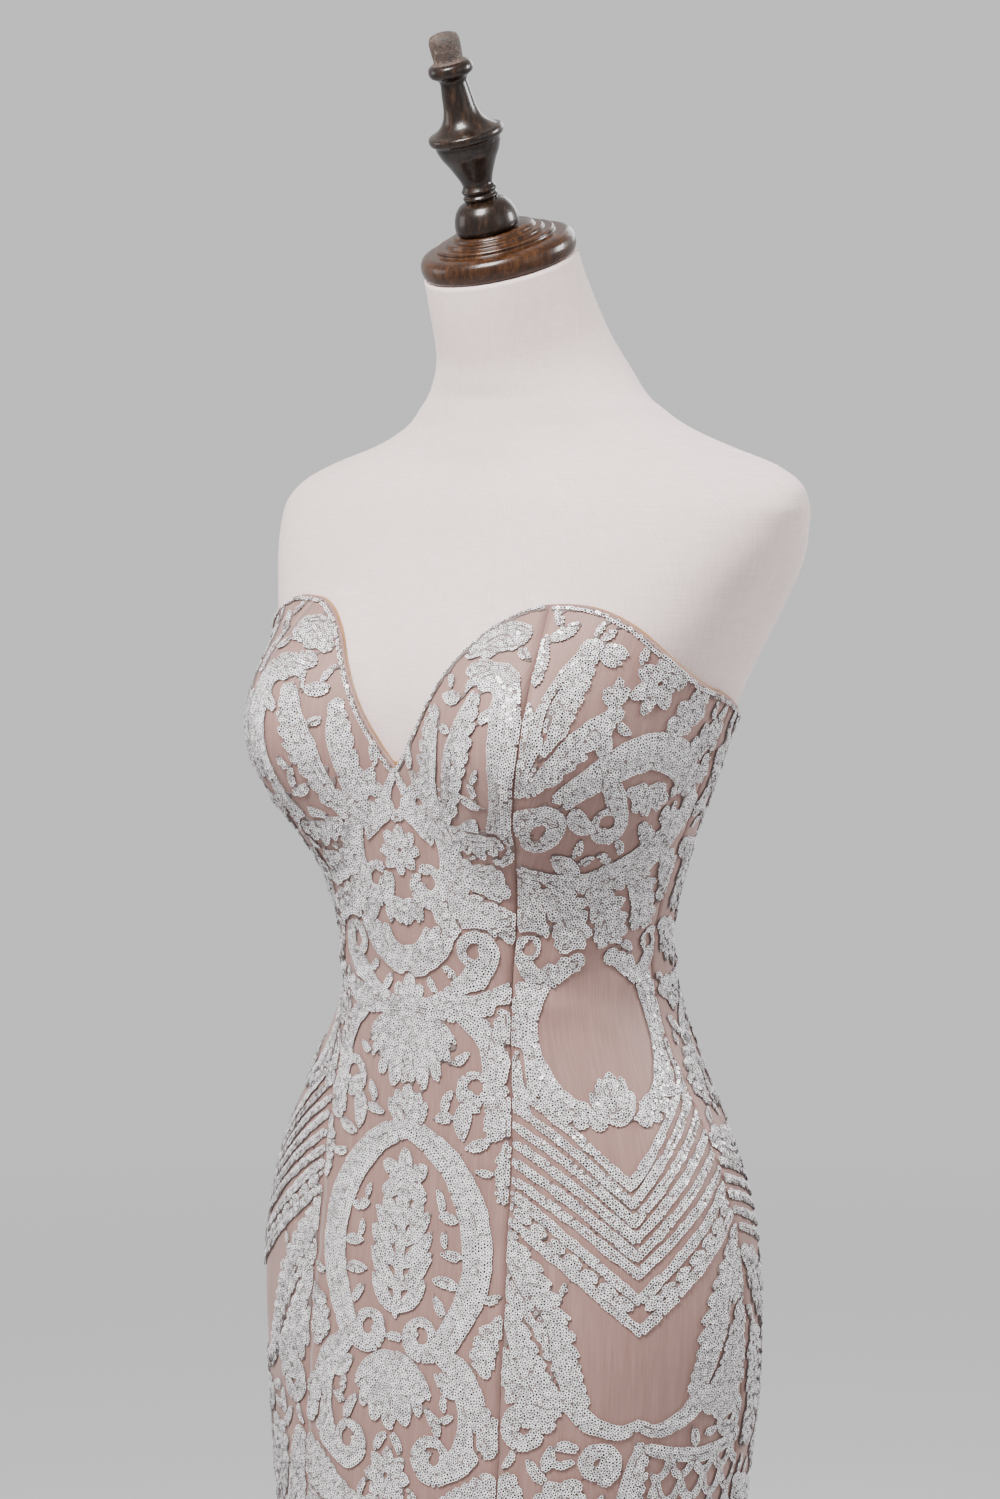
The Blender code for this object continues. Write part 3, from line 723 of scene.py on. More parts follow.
def draw_front():
    """The centre front: mirrored scrolls round a rosette, a fan and a cartouche."""
    d = Drawing()
    # the cup: a feathered plume from the waist, a long scroll by the seam
    d.scroll([(8, 1186, 4.5), (30, 1172, 8.0), (58, 1162, 10.0), (84, 1174, 11.0), (99, 1202, 11.0), (103, 1234, 10.0), (98, 1262, 8.5)], 14.5, 1, 1.2)
    d.frond([(40, 1180), (52, 1204), (66, 1232), (74, 1262)], 8.0, 8.0, 9.0, -1, 34, 1)
    d.frond([(34, 1186), (34, 1206), (40, 1228), (44, 1250)], 6.6, 8.0, 9.0, 1, 34)
    d.leaf(28, 1192, 118, 24, 5.0, 0.1)
    d.line((44, 1196, 0.7), (52, 1222, 1.2), (58, 1248, 2.4), cut=True)
    d.frond([(58, 1284), (74, 1296), (90, 1300)], 6.5, 8.0, 8.0, -1, 44)
    d.leaf(62, 1274, 20, 22, 5.0, -0.2)
    # under the V: a drop, then two pairs of volutes round a rosette
    d.line((0, 1209, 2.4), (6.8, 1198, 2.6), (5.8, 1188, 2.6), (0, 1179, 2.4))
    d.volute(19, 1191, 11.5, 215, 1.25, 5.0, 3.6, eye=2.4)
    d.scroll([(30, 1182, 5.0), (38, 1166, 7.5), (38, 1148, 8.5), (28, 1134, 7.5)], 9.5, -1, 1.15)
    d.rosette(0, 1160, 15.5, 8, hole=2.4, wide=4.0)
    d.leaf(44, 1166, 24, 30, 7.0, 0.22)
    d.frond([(38, 1152), (54, 1144), (70, 1142)], 7.5, 7.5, 8.0, 0, 46)
    d.frond([(34, 1138), (48, 1124), (62, 1116), (74, 1116)], 7.5, 7.5, 8.0, 0, 46)
    d.leaf(24, 1128, -64, 22, 5.6, 0.2)
    d.frond([(46, 1176), (60, 1170), (76, 1172)], 5.0, 6.0, 7.5, -1, 44)
    # the waist: nested swags in a collar of leaves
    for i in range(4):
        w, top = 38 - 7.2 * i, 1112 - 0.8 * i
        d.line((-w, top, 2.3), (-w * 0.62, top - 19 + 3.0 * i, 2.6), (0, top - 30 + 5.4 * i, 2.8), (w * 0.62, top - 19 + 3.0 * i, 2.6), (w, top, 2.3))
    d.scroll([(0, 1058, 4.0), (20, 1062, 6.5), (40, 1074, 8.0), (55, 1093, 7.5)], 8.5, 1, 1.0, 3.4)
    d.frond([(30, 1066), (46, 1064), (62, 1070), (72, 1080)], 6.5, 7.0, 8.0, -1, 48)
    d.palmette(0, 1060, 90, 3, 20, 4.6, 84, drop=0.8, slit=0.4)
    # below the waist: a shell between scrolls and curls
    d.palmette(0, 1058, -90, 9, 52, 6.0, 136, drop=0.78, slit=0.5)
    d.line((-42, 1056, 3.4), (-22, 1060, 4.8), (0, 1062, 5.6), (22, 1060, 4.8), (42, 1056, 3.4))
    d.scroll([(40, 1056, 4.5), (54, 1046, 7.0), (62, 1028, 8.0), (58, 1010, 7.0)], 8.5, -1, 1.15)
    d.frond([(60, 1038), (68, 1052), (70, 1062)], 4.5, 5.5, 7.0, 0, 44)
    d.frond([(58, 1016), (66, 1002), (68, 984)], 6.2, 6.5, 7.5, 0, 44)
    d.leaf(44, 1002, -112, 22, 5.6, 0.3)
    # the hip: a long cartouche with a star on a leafy stem
    d.palmette(0, 984, 90, 5, 26, 5.0, 100, drop=0.8, slit=0.4)
    d.line((0, 984, 6.0), (20, 975, 7.5), (40, 957, 9.0), (54, 930, 10.0), (58, 900, 10.0), (50, 872, 9.0), (36, 854, 7.5))
    d.scroll([(50, 872, 9.0), (38, 852, 8.0), (24, 846, 6.5)], 9.0, -1, 1.15)
    d.scallops([(44, 962, 9.0), (60, 932, 10.0), (64, 900, 10.0), (56, 868, 9.0), (44, 850, 7.5)], 4.8, 9.6, -1.0)
    d.rosette(0, 950, 20.0, 6, start=90, wide=5.4)
    d.line((0, 866, 2.4), (0, 900, 2.8), (0, 932, 2.6))
    for y, reach in ((868, 30), (882, 34), (896, 34), (910, 30), (923, 22)):
        d.leaf(0, y, 30, reach, 4.8, 0.28, full=0.55)
    # outside the cartouche
    d.frond([(72, 980), (73, 962), (74, 944)], 3.6, 4.6, 6.5, 0, 40)
    d.frond([(76, 872), (68, 856), (66, 838)], 4.5, 6.0, 7.0, 0, 40)
    # below: a root of leaves, scrolls and a rosette down to the knee
    d.palmette(0, 842, -90, 7, 48, 6.6, 118, drop=0.8, slit=0.5)
    d.scroll([(38, 846, 5.5), (54, 832, 8.5), (62, 808, 9.5), (56, 784, 9.0), (40, 772, 7.5)], 10.5, -1, 1.15)
    d.frond([(62, 816), (72, 804), (76, 788)], 5.0, 6.0, 7.0, 0, 44)
    d.leaf(54, 824, 172, 22, 5.6, -0.3)
    d.rosette(0, 764, 18.0, 8, hole=2.6, wide=4.6)
    d.frond([(0, 744), (20, 736), (42, 740), (60, 752), (76, 770)], 8.5, 8.5, 9.0, 0, 46, 1)
    d.frond([(18, 732), (40, 722), (62, 724), (78, 736)], 7.0, 8.0, 9.0, 0, 46)
    d.palmette(0, 740, -90, 5, 46, 7.0, 84, drop=0.8, slit=0.6)
    d.mirrored()
    return d


def draw_side_front():
    """From the princess seam (left) to the side seam (right)."""
    d = Drawing()
    # the cup's outer half: a plume by the seam, an S scroll, a daisy and sprays
    d.frond([(-72, 1204), (-68, 1232), (-60, 1262), (-50, 1292)], 9.5, 9.0, 9.5, -1, 34, 2)
    d.frond([(-66, 1204), (-54, 1222), (-38, 1240), (-22, 1252)], 6.5, 8.0, 9.0, -1, 40)
    d.leaf(-76, 1228, 98, 40, 5.0)
    d.leaf(-76, 1268, 92, 30, 4.6)
    d.scroll([(-56, 1188, 5.0), (-38, 1204, 8.0), (-14, 1218, 10.5), (14, 1226, 11.5), (40, 1218, 11.0), (56, 1198, 9.5)], 12.5, -1, 1.25)
    d.rosette(4, 1268, 19.0, 7, start=100, hole=2.6, wide=5.2)
    d.frond([(24, 1232), (34, 1246), (46, 1254)], 6.0, 7.0, 8.0, 0, 46)
    d.frond([(46, 1218), (60, 1228), (74, 1232)], 6.5, 7.0, 8.0, 0, 46)
    d.leaf(-22, 1224, 116, 26, 6.0, -0.2)
    d.frond([(58, 1204), (68, 1210), (78, 1212)], 4.6, 5.5, 7.0, 0, 46)
    d.scroll([(-16, 1210, 6.0), (-8, 1198, 6.5), (-2, 1186, 6.0)], 8.5, -1, 1.2, 3.4)
    d.frond([(2, 1202), (16, 1196), (30, 1198)], 5.0, 6.0, 7.0, 0, 46)
    d.scroll([(-74, 1166, 5.0), (-68, 1184, 6.5), (-54, 1188, 7.0)], 9.5, -1, 1.2)
    d.leaf(-36, 1192, -60, 22, 5.6, 0.3)
    # the underbust: a heavy sweep with toothed leaves under it
    d.line((-64, 1152, 6.0), (-42, 1142, 8.5), (-14, 1140, 10.0), (16, 1152, 10.0), (42, 1170, 9.0), (66, 1190, 6.0))
    d.leaf(-22, 1146, 128, 24, 5.6, 0.2)
    d.leaf(28, 1164, 116, 22, 5.6, 0.2)
    d.frond([(-58, 1146), (-46, 1128), (-42, 1108)], 7.0, 7.0, 8.0, 0, 44)
    d.frond([(-36, 1138), (-22, 1122), (-18, 1102)], 7.5, 7.0, 8.0, 0, 44)
    d.frond([(-10, 1136), (4, 1122), (10, 1102)], 7.5, 7.0, 8.0, 0, 44)
    d.frond([(16, 1146), (30, 1132), (36, 1112)], 7.5, 7.0, 8.0, 0, 44)
    d.frond([(40, 1160), (52, 1146), (56, 1126)], 6.5, 7.0, 8.0, 0, 44)
    # the waist: two toothed leaves bowed about a plain middle
    for s in (-1, 1):
        d.frond([(s * 4, 996), (s * 34, 1008), (s * 47, 1040), (s * 38, 1072), (s * 10, 1092)], 7.0, 8.0, 9.0, -s, 50)
        d.scroll([(s * 30, 1078, 3.6), (s * 42, 1086, 4.8), (s * 50, 1098, 4.4)], 5.6, s, 1.0, 2.8)
        d.frond([(s * 56, 1000), (s * 58, 1018), (s * 54, 1036)], 3.4, 4.6, 6.5, -s, 40)
    d.palmette(0, 992, 90, 5, 30, 5.0, 84, drop=0.8, slit=0.4)
    # the hip: nested pointed lines, then a band of small leaves
    for i in range(6):
        y = 1004 - 10.4 * i
        w = 64 + 4.0 * i
        d.line((-w, y + 14, 2.3), (-w * 0.5, y - 14, 2.4), (0, y - 48, 2.5))
        d.line((w, y + 14, 2.3), (w * 0.5, y - 14, 2.4), (0, y - 48, 2.5))
    for y in (938.0, 919.0):
        d.line((-88, y + 22, 2.9), (-44, y - 12, 2.8), (0, y - 50, 2.8))
        d.line((88, y + 22, 2.9), (44, y - 12, 2.8), (0, y - 50, 2.8))
    for t in np.arange(0.05, 0.98, 0.115):
        y = 879 + 73 * t
        d.leaf(-88 * t, y, 140, 11.5, 3.3, 0.1, full=0.5)
        d.leaf(88 * t, y, 40, 11.5, 3.3, -0.1, full=0.5)
    # below the hip: broad toothed leaves either side of a plain shield
    for s in (-1, 1):
        d.frond([(s * 92, 930), (s * 78, 904), (s * 64, 876), (s * 54, 846), (s * 40, 822)], 11.0, 10.0, 10.0, 0, 44, 2)
        d.frond([(s * 88, 884), (s * 80, 858), (s * 70, 834), (s * 52, 812)], 9.0, 9.0, 9.5, 0, 44, 1)
        d.line((s * 44, 826, 6.0), (s * 30, 812, 5.5), (s * 12, 806, 4.0), (0, 810, 3.0))
        d.volute(s * 70, 806, 12.0, 90 + s * 60, -1.2 * s, 6.0, 4.0, eye=2.6)
    # a patch of scales, and a rising branch beside it
    for j in range(6):
        for i in range(6):
            x, y = 14 + 17.5 * i - 8.75 * (j % 2), 788 - 15.5 * j
            d.line((x - 8.6, y, 2.0), (x - 5.6, y - 9.5, 2.1), (x, y - 13.5, 2.2), (x + 5.6, y - 9.5, 2.1), (x + 8.6, y, 2.0))
    d.line((0, 796, 3.2), (44, 786, 4.4), (88, 792, 4.2))
    d.frond([(2, 796), (-4, 768), (-6, 738), (0, 704)], 6.0, 7.0, 8.0, 1, 44)
    d.frond([(-14, 700), (-34, 716), (-46, 742), (-44, 772)], 11.0, 10.0, 10.0, 0, 44, 2)
    d.frond([(-50, 706), (-70, 722), (-80, 746), (-82, 772)], 9.0, 9.0, 9.5, 0, 44, 1)
    d.volute(-24, 786, 10.5, -60, 1.2, 5.0, 3.4, eye=2.4)
    return d


def draw_back():
    """From the side seam (left) to the centre back seam (right)."""
    d = Drawing()
    d.scroll([(-84, 1186, 5.5), (-68, 1204, 8.5), (-44, 1216, 10.0), (-18, 1210, 9.5), (-4, 1192, 8.0)], 11.5, -1, 1.2)
    d.scroll([(92, 1178, 5.5), (80, 1200, 8.5), (56, 1216, 10.0), (30, 1212, 9.0), (16, 1196, 8.0)], 10.5, 1, 1.2)
    d.frond([(-76, 1196), (-78, 1212), (-84, 1226)], 5.0, 6.0, 7.0, 0, 44)
    d.frond([(-56, 1200), (-44, 1188), (-30, 1184)], 6.5, 7.0, 8.0, 0, 46)
    d.frond([(58, 1202), (50, 1188), (38, 1182)], 6.5, 7.0, 8.0, 0, 46)
    d.leaf(4, 1214, 90, 16, 5.0, 0.0)
    d.leaf(68, 1212, 60, 18, 5.0, 0.0)
    d.line((-84, 1162, 5.5), (-60, 1156, 8.0), (-30, 1156, 9.0), (4, 1164, 9.0), (38, 1156, 9.0), (68, 1160, 8.0), (90, 1170, 5.5))
    for x, y, s in ((-70, 1154, 1), (-46, 1148, 1), (-22, 1150, 1), (34, 1150, -1), (58, 1150, -1), (80, 1158, -1)):
        d.frond([(x, y), (x + s * 10, y - 16), (x + s * 12, y - 34)], 6.6, 6.6, 7.5, 0, 44)
    d.rosette(6, 1132, 17.0, 8, hole=2.6, wide=4.4)
    for i in range(4):
        r = 34 - 7.0 * i
        d.line((4 - r, 1114 - 2 * i, 2.3), (4 - r * 0.6, 1097 - 0.4 * i, 2.5), (4, 1088 + 2.6 * i, 2.6), (4 + r * 0.6, 1097 - 0.4 * i, 2.5), (4 + r, 1114 - 2 * i, 2.3))
    for s in (-1, 1):
        d.frond([(4 + s * 76, 1110), (4 + s * 60, 1098), (4 + s * 44, 1092), (4 + s * 28, 1080)], 7.5, 8.0, 9.0, 0, 46)
        d.frond([(4 + s * 76, 1066), (4 + s * 52, 1062), (4 + s * 28, 1068), (4 + s * 8, 1080)], 7.5, 8.0, 9.0, 0, 46)
        d.scroll([(4 + s * 22, 1058, 4.5), (4 + s * 46, 1048, 7.5), (4 + s * 64, 1028, 9.0), (4 + s * 66, 1006, 8.5)], 11.0, -s, 1.2)
        d.frond([(4 + s * 64, 1030), (4 + s * 76, 1016), (4 + s * 84, 998)], 5.6, 6.6, 7.5, 0, 44)
        d.frond([(4 + s * 104, 976), (4 + s * 78, 966), (4 + s * 46, 964), (4 + s * 12, 978)], 8.5, 9.0, 9.5, 0, 46, 1)
        d.leaf(4 + s * 36, 1000, 90 - s * 150, 26, 6.0, 0.0)
    d.palmette(4, 1060, -90, 9, 54, 6.2, 136, drop=0.80, slit=0.5)
    for i in range(5):
        y = 956 - 10.4 * i
        d.line((-106, y + 8, 2.4), (-50, y - 12, 2.4), (4, y - 36, 2.5))
        d.line((112, y + 8, 2.4), (58, y - 12, 2.4), (4, y - 36, 2.5))
    for s in (-1, 1):
        d.frond([(4 + s * 110, 906), (4 + s * 92, 884), (4 + s * 72, 862), (4 + s * 62, 834), (4 + s * 68, 806)], 11.0, 10.0, 10.0, 0, 44, 2)
        d.frond([(4 + s * 108, 858), (4 + s * 100, 832), (4 + s * 96, 806), (4 + s * 104, 782)], 9.0, 9.0, 9.5, 0, 44, 1)
        d.scroll([(4 + s * 8, 842, 4.5), (4 + s * 22, 828, 6.5), (4 + s * 30, 808, 8.0), (4 + s * 22, 792, 7.5)], 9.0, -s, 1.15)
        d.frond([(4 + s * 4, 766), (4 + s * 30, 758), (4 + s * 58, 764), (4 + s * 84, 778)], 9.5, 9.0, 9.5, 0, 46, 1)
        d.frond([(4 + s * 30, 746), (4 + s * 60, 736), (4 + s * 90, 740), (4 + s * 112, 754)], 9.0, 9.0, 9.5, 0, 46, 1)
        d.leaf(4 + s * 70, 806, 90 - s * 190, 24, 6.0, 0.0)
    d.rosette(4, 876, 21.0, 6, hole=2.6, wide=5.6)
    d.palmette(4, 852, -90, 7, 46, 6.4, 112, drop=0.82, slit=0.5)
    d.palmette(4, 760, -90, 7, 54, 7.0, 104, drop=0.82, slit=0.6)
    return d


# ------------------------------------------------------ the drawing as a depth
CELL = 1.0  # millimetres
KNEE = 700.0  # below this height the stones are larger and set further apart
EMPTY = -6.0


class Field:
    """How deep inside the embroidery each point of a panel lies, in millimetres."""

    def __init__(self, panel):
        self.panel = panel
        self.x0 = -math.ceil(panel.widest * 1000)
        self.y0 = math.floor(panel.up[2] * 1000) - 2
        self.nx = 2 * -self.x0 + 1
        self.ny = int(1322 - self.y0)
        self.f = np.full((self.ny, self.nx), EMPTY, np.float32)
        x = (self.x0 + np.arange(self.nx)) / 1000.0
        y = (self.y0 + np.arange(self.ny)) / 1000.0
        gx, gy = np.meshgrid(x, y)
        theta, z = panel.place(gx, gy)
        half = panel.half_at(y)[:, None] * 1000
        side = half - np.abs(gx) * 1000
        slope = np.gradient(half[:, 0])[:, None]
        side = side / np.sqrt(1 + slope**2)
        over = (top_edge(theta) - z) * 1000
        dy, dx = np.gradient(over)
        top = over / np.maximum(np.sqrt(dx**2 + dy**2), 0.2)
        low = (gy - panel.up[2]) * 1000
        self.clear = np.minimum(np.minimum(side, top), low).astype(np.float32)
        self.top = top.astype(np.float32)
        self.low = low.astype(np.float32)

    def stamp(self, a, b, wa, wb, cut):
        reach = max(wa, wb) + 3.0
        x0 = int(max(0, math.floor(min(a[0], b[0]) - reach - self.x0)))
        x1 = int(min(self.nx, math.ceil(max(a[0], b[0]) + reach - self.x0) + 1))
        y0 = int(max(0, math.floor(min(a[1], b[1]) - reach - self.y0)))
        y1 = int(min(self.ny, math.ceil(max(a[1], b[1]) + reach - self.y0) + 1))
        if x1 <= x0 or y1 <= y0:
            return
        gx = (self.x0 + np.arange(x0, x1))[None, :] - a[0]
        gy = (self.y0 + np.arange(y0, y1))[:, None] - a[1]
        ux, uy = b[0] - a[0], b[1] - a[1]
        t = np.clip((gx * ux + gy * uy) / max(ux * ux + uy * uy, 1e-6), 0, 1)
        away = np.sqrt((gx - ux * t) ** 2 + (gy - uy * t) ** 2)
        inside = wa + (wb - wa) * t - away
        view = self.f[y0:y1, x0:x1]
        if cut:
            np.minimum(view, -inside, out=view)
        else:
            np.maximum(view, inside, out=view)

    def paint(self, strokes):
        for run, cut in strokes:
            for a, b in zip(run[:-1], run[1:]):
                self.stamp(a[:2], b[:2], float(a[2]), float(b[2]), cut)

    def distance(self, reach=22, step=2):
        """On a coarser net, how far each free point is from any embroidery."""
        filled = self.f[::step, ::step] > -1.0
        filled |= self.clear[::step, ::step] < 0.0
        away = np.zeros(filled.shape, np.float32)
        grown = filled.copy()
        for k in range(reach // step):
            away[~grown] = (k + 1) * step
            g = grown.copy()
            g[1:] |= grown[:-1]
            g[:-1] |= grown[1:]
            g[:, 1:] |= grown[:, :-1]
            g[:, :-1] |= grown[:, 1:]
            if k % 2:
                g[1:, 1:] |= grown[:-1, :-1]
                g[:-1, :-1] |= grown[1:, 1:]
                g[1:, :-1] |= grown[:-1, 1:]
                g[:-1, 1:] |= grown[1:, :-1]
            grown = g
        return away, step

    def fill_gaps(self, rng, plain, smallest=7.0, most=170, low=KNEE, twin=False):
        """Small leaves and buds growing from the nearest scroll into empty ground,
        but not into the places kept plain: x, y, half width, half height."""
        for _ in range(most):
            away, step = self.distance()
            y = self.y0 + np.arange(away.shape[0])[:, None] * step
            x = self.x0 + np.arange(away.shape[1])[None, :] * step
            for px, py, rx, ry in plain:
                away = np.where(((x - px) / rx) ** 2 + ((y - py) / ry) ** 2 < 1, 0, away)
            away = np.where(y < low, 0, away)
            i, j = np.unravel_index(np.argmax(away), away.shape)
            gap = float(away[i, j])
            if gap < smallest:
                return
            cx, cy = float(x[0, j]), float(y[i, 0])
            near = self.f > -1.0
            r = int(gap * 1.7) + 3
            yy0, yy1 = max(0, int(cy - self.y0) - r), min(self.ny, int(cy - self.y0) + r)
            xx0, xx1 = max(0, int(cx - self.x0) - r), min(self.nx, int(cx - self.x0) + r)
            ys, xs = np.nonzero(near[yy0:yy1, xx0:xx1])
            d = Drawing()
            if len(xs) == 0:
                d.rosette(cx, cy, min(gap * 0.7, 12.0), 6, hole=0.0)
                self.paint(d.strokes)
                continue
            xs, ys = xs + xx0 + self.x0, ys + yy0 + self.y0
            k = np.argmin((xs - cx) ** 2 + (ys - cy) ** 2)
            root = np.array([xs[k], ys[k]], float)
            out = np.array([cx, cy]) - root
            turn = math.degrees(math.atan2(out[1], out[0])) + rng.uniform(-24, 24)
            long = float(np.linalg.norm(out)) * 1.55
            kind = rng.integers(0, 3)
            bend = rng.uniform(-0.45, 0.45)
            if long < 20:
                d.leaf(*root, turn, long * 1.12, min(long * 0.21, 5.0), bend, full=0.45, sharp=0.9)
            elif kind == 0:
                side = np.array([-out[1], out[0]]) * rng.choice([-0.22, 0.22])
                d.frond([root, root + out * 0.7 + side, root + out * 1.35 + side * 0.6], min(long * 0.17, 5.5), min(long * 0.20, 6.5), 7.0, 0, 46)
            elif kind == 1:
                d.leaf(*root, turn - 26, long * 0.86, min(long * 0.19, 5.0), 0.3)
                d.leaf(*root, turn + 26, long * 0.86, min(long * 0.19, 5.0), -0.3)
            else:
                for s, w in ((-46, 0.72), (0, 1.0), (46, 0.72)):
                    d.leaf(*root, turn + s, long * w * 0.92, min(long * 0.16, 4.6), -0.004 * s)
            if twin:
                d.mirrored()
            self.paint(d.strokes)

    def loosen(self, rng, fuller, uneven, patch=5.0):
        """Makes the outlines a little fuller, and uneven as hand work is."""
        rough = rng.normal(0, 1, (int(self.ny / patch) + 3, int(self.nx / patch) + 3))
        row = np.arange(self.ny)[:, None] / patch + np.zeros((1, self.nx))
        column = np.arange(self.nx)[None, :] / patch + np.zeros((self.ny, 1))
        wave = np.clip(two_way(rough, row, column), -1.6, 1.6)
        drawn = self.f > EMPTY + 0.5
        self.f = np.where(drawn, self.f + fuller + uneven * wave, self.f).astype(np.float32)

    def tidy(self, least=1.7, level=0.2):
        """Drops slivers too thin to hold a sequin."""
        inside = self.f > level
        kept = self.f > least
        for _ in range(14):
            grown = kept.copy()
            grown[1:] |= kept[:-1]
            grown[:-1] |= kept[1:]
            grown[:, 1:] |= kept[:, :-1]
            grown[:, :-1] |= kept[:, 1:]
            kept = grown & inside
        self.f = np.where(inside & ~kept, -0.6, self.f).astype(np.float32)

    def finish(self):
        """Trims the drawing to the panel and lays a fine line along the top edge."""
        rim = 1.85 - np.abs(self.top - 2.5)
        hem = 3.4 - np.abs(self.low - 6.0)
        self.f = np.maximum(self.f, np.maximum(rim, hem))
        self.f = np.minimum(self.f, self.clear - 0.9)


def vines(d, half_at, top, bottom, sway, sides=(1,)):
    """Stems that wander down the skirt, with leaves and curls each side."""
    for lane, phase in sways(sides):
        y, k = top, 0
        last = None
        while y > bottom:
            half = half_at(y / 1000.0) * 1000
            reach = half * sway
            x = lane * half + reach * math.sin(phase + k * math.pi)
            grow = 1.0 + 0.55 * min(1.0, max(0.0, (620 - y) / 620))
            here = (x, y, 5.6 * grow)
            if last is not None:
                mid = ((last[0] + x) / 2 - 0.22 * (last[1] - y) * math.copysign(1, x - last[0]), (last[1] + y) / 2, 6.4 * grow)
                d.line(last, mid, here)
                turn = math.degrees(math.atan2(y - last[1], x - last[0]))
                swing = math.copysign(1, x - last[0])
                d.leaf(mid[0], mid[1], turn + 62 * swing, 44 * grow, 8.2 * grow, -0.22 * swing, lobes=4)
                d.leaf(mid[0], mid[1], turn - 62 * swing, 36 * grow, 7.0 * grow, 0.22 * swing, lobes=3)
                d.leaf(last[0], last[1], turn - 150 * swing, 34 * grow, 6.6 * grow, 0.3 * swing, lobes=3)
                d.volute(x + swing * 20 * grow, y + 3, 13 * grow, 180 if swing > 0 else 0, -1.15 * swing, 5.4 * grow, 3.6 * grow, eye=2.8)
            last = here
            y -= 62 * grow
            k += 1


def sways(sides):
    return [(s, 0.5 * math.pi + i * 1.9) for i, s in enumerate(sides)]


PLAIN = {
    "front_panel": [(80, 1236, 10, 22), (-80, 1236, 10, 22), (0, 1100, 24, 18), (0, 818, 8, 5)],
    "side_front": [(0, 1046, 52, 58), (0, 850, 58, 62), (0, 950, 84, 62), (46, 744, 44, 46)],
    "back": [(4, 926, 100, 36), (4, 1016, 8, 8)],
}


def draw_panel(panel, seed):
    """The finished depth of one left or middle panel; right ones are turned over."""
    field = Field(panel)
    if panel.name == "front_panel":
        d, key, lanes, sway = draw_front(), "front_panel", (-0.55, 0.0, 0.55), 0.20
    elif "side_front" in panel.name:
        d, key, lanes, sway = draw_side_front(), "side_front", (-0.5, 0.5), 0.24
    else:
        d, key, lanes, sway = draw_back(), "back", (-0.62, 0.0, 0.62), 0.18
    low = Drawing()
    vines(low, panel.half_at, 712, panel.up[2] * 1000 + 24, sway, lanes)
    field.paint(low.strokes)
    keep = field.f.copy()
    field.f[:] = EMPTY
    field.paint(d.strokes)
    y = (field.y0 + np.arange(field.ny))[:, None]
    blend = np.clip((y - 690.0) / 12.0, 0, 1)
    upper = np.maximum(field.f, EMPTY)
    field.f = np.where(blend >= 1, upper, np.maximum(upper - (1 - blend) * 30, keep)).astype(np.float32)
    field.fill_gaps(np.random.default_rng(seed), PLAIN[key], low=720, twin=key == "front_panel")
    field.fill_gaps(np.random.default_rng(seed + 5), PLAIN[key], smallest=19.0, most=60, low=panel.up[2] * 1000)
    field.loosen(np.random.default_rng(seed + 9), 0.50, 0.42)
    field.tidy()
    field.finish()
    return field


# ------------------------------------------------------- outlines of the depth
def contours(f, level):
    """Lines where the depth has a level, as lists of (column, row) points."""
    above = f > level
    ny, nx = f.shape
    horizontal = above[:, :-1] != above[:, 1:]  # crossing between (r, c) and (r, c+1)
    vertical = above[:-1, :] != above[1:, :]  # crossing between (r, c) and (r+1, c)
    top, bottom = horizontal[1:, :], horizontal[:-1, :]
    left, right = vertical[:, :-1], vertical[:, 1:]
    count = top.astype(np.int8) + bottom + left + right
    rows, cols = np.nonzero(count > 0)
    h_id = lambda r, c: r * nx + c
    v_id = lambda r, c: ny * nx + r * nx + c
    links = {}

    def link(a, b):
        links.setdefault(a, []).append(b)
        links.setdefault(b, []).append(a)

    for r, c in zip(rows.tolist(), cols.tolist()):
        ids = []
        if bottom[r, c]:
            ids.append(h_id(r, c))
        if right[r, c]:
            ids.append(v_id(r, c + 1))
        if top[r, c]:
            ids.append(h_id(r + 1, c))
        if left[r, c]:
            ids.append(v_id(r, c))
        if len(ids) == 2:
            link(ids[0], ids[1])
        elif len(ids) == 4:
            if above[r, c]:
                link(ids[0], ids[3])
                link(ids[1], ids[2])
            else:
                link(ids[0], ids[1])
                link(ids[2], ids[3])
    seen, lines = set(), []
    for first in links:
        if first in seen:
            continue
        run, here, before = [first], first, None
        seen.add(first)
        while True:
            ahead = [n for n in links[here] if n != before and n not in seen]
            if not ahead:
                break
            before, here = here, ahead[0]
            seen.add(here)
            run.append(here)
        closed = first in links[here] and len(run) > 2
        ids = np.array(run + ([first] if closed else []))
        is_v = ids >= ny * nx
        k = np.where(is_v, ids - ny * nx, ids)
        r, c = k // nx, k % nx
        r2, c2 = r + is_v, c + ~is_v
        a, b = f[r, c], f[np.minimum(r2, ny - 1), np.minimum(c2, nx - 1)]
        t = np.clip((level - a) / np.where(np.abs(b - a) < 1e-9, 1e-9, b - a), 0, 1)
        lines.append(np.stack([c + (c2 - c) * t, r + (r2 - r) * t], axis=1))
    return lines


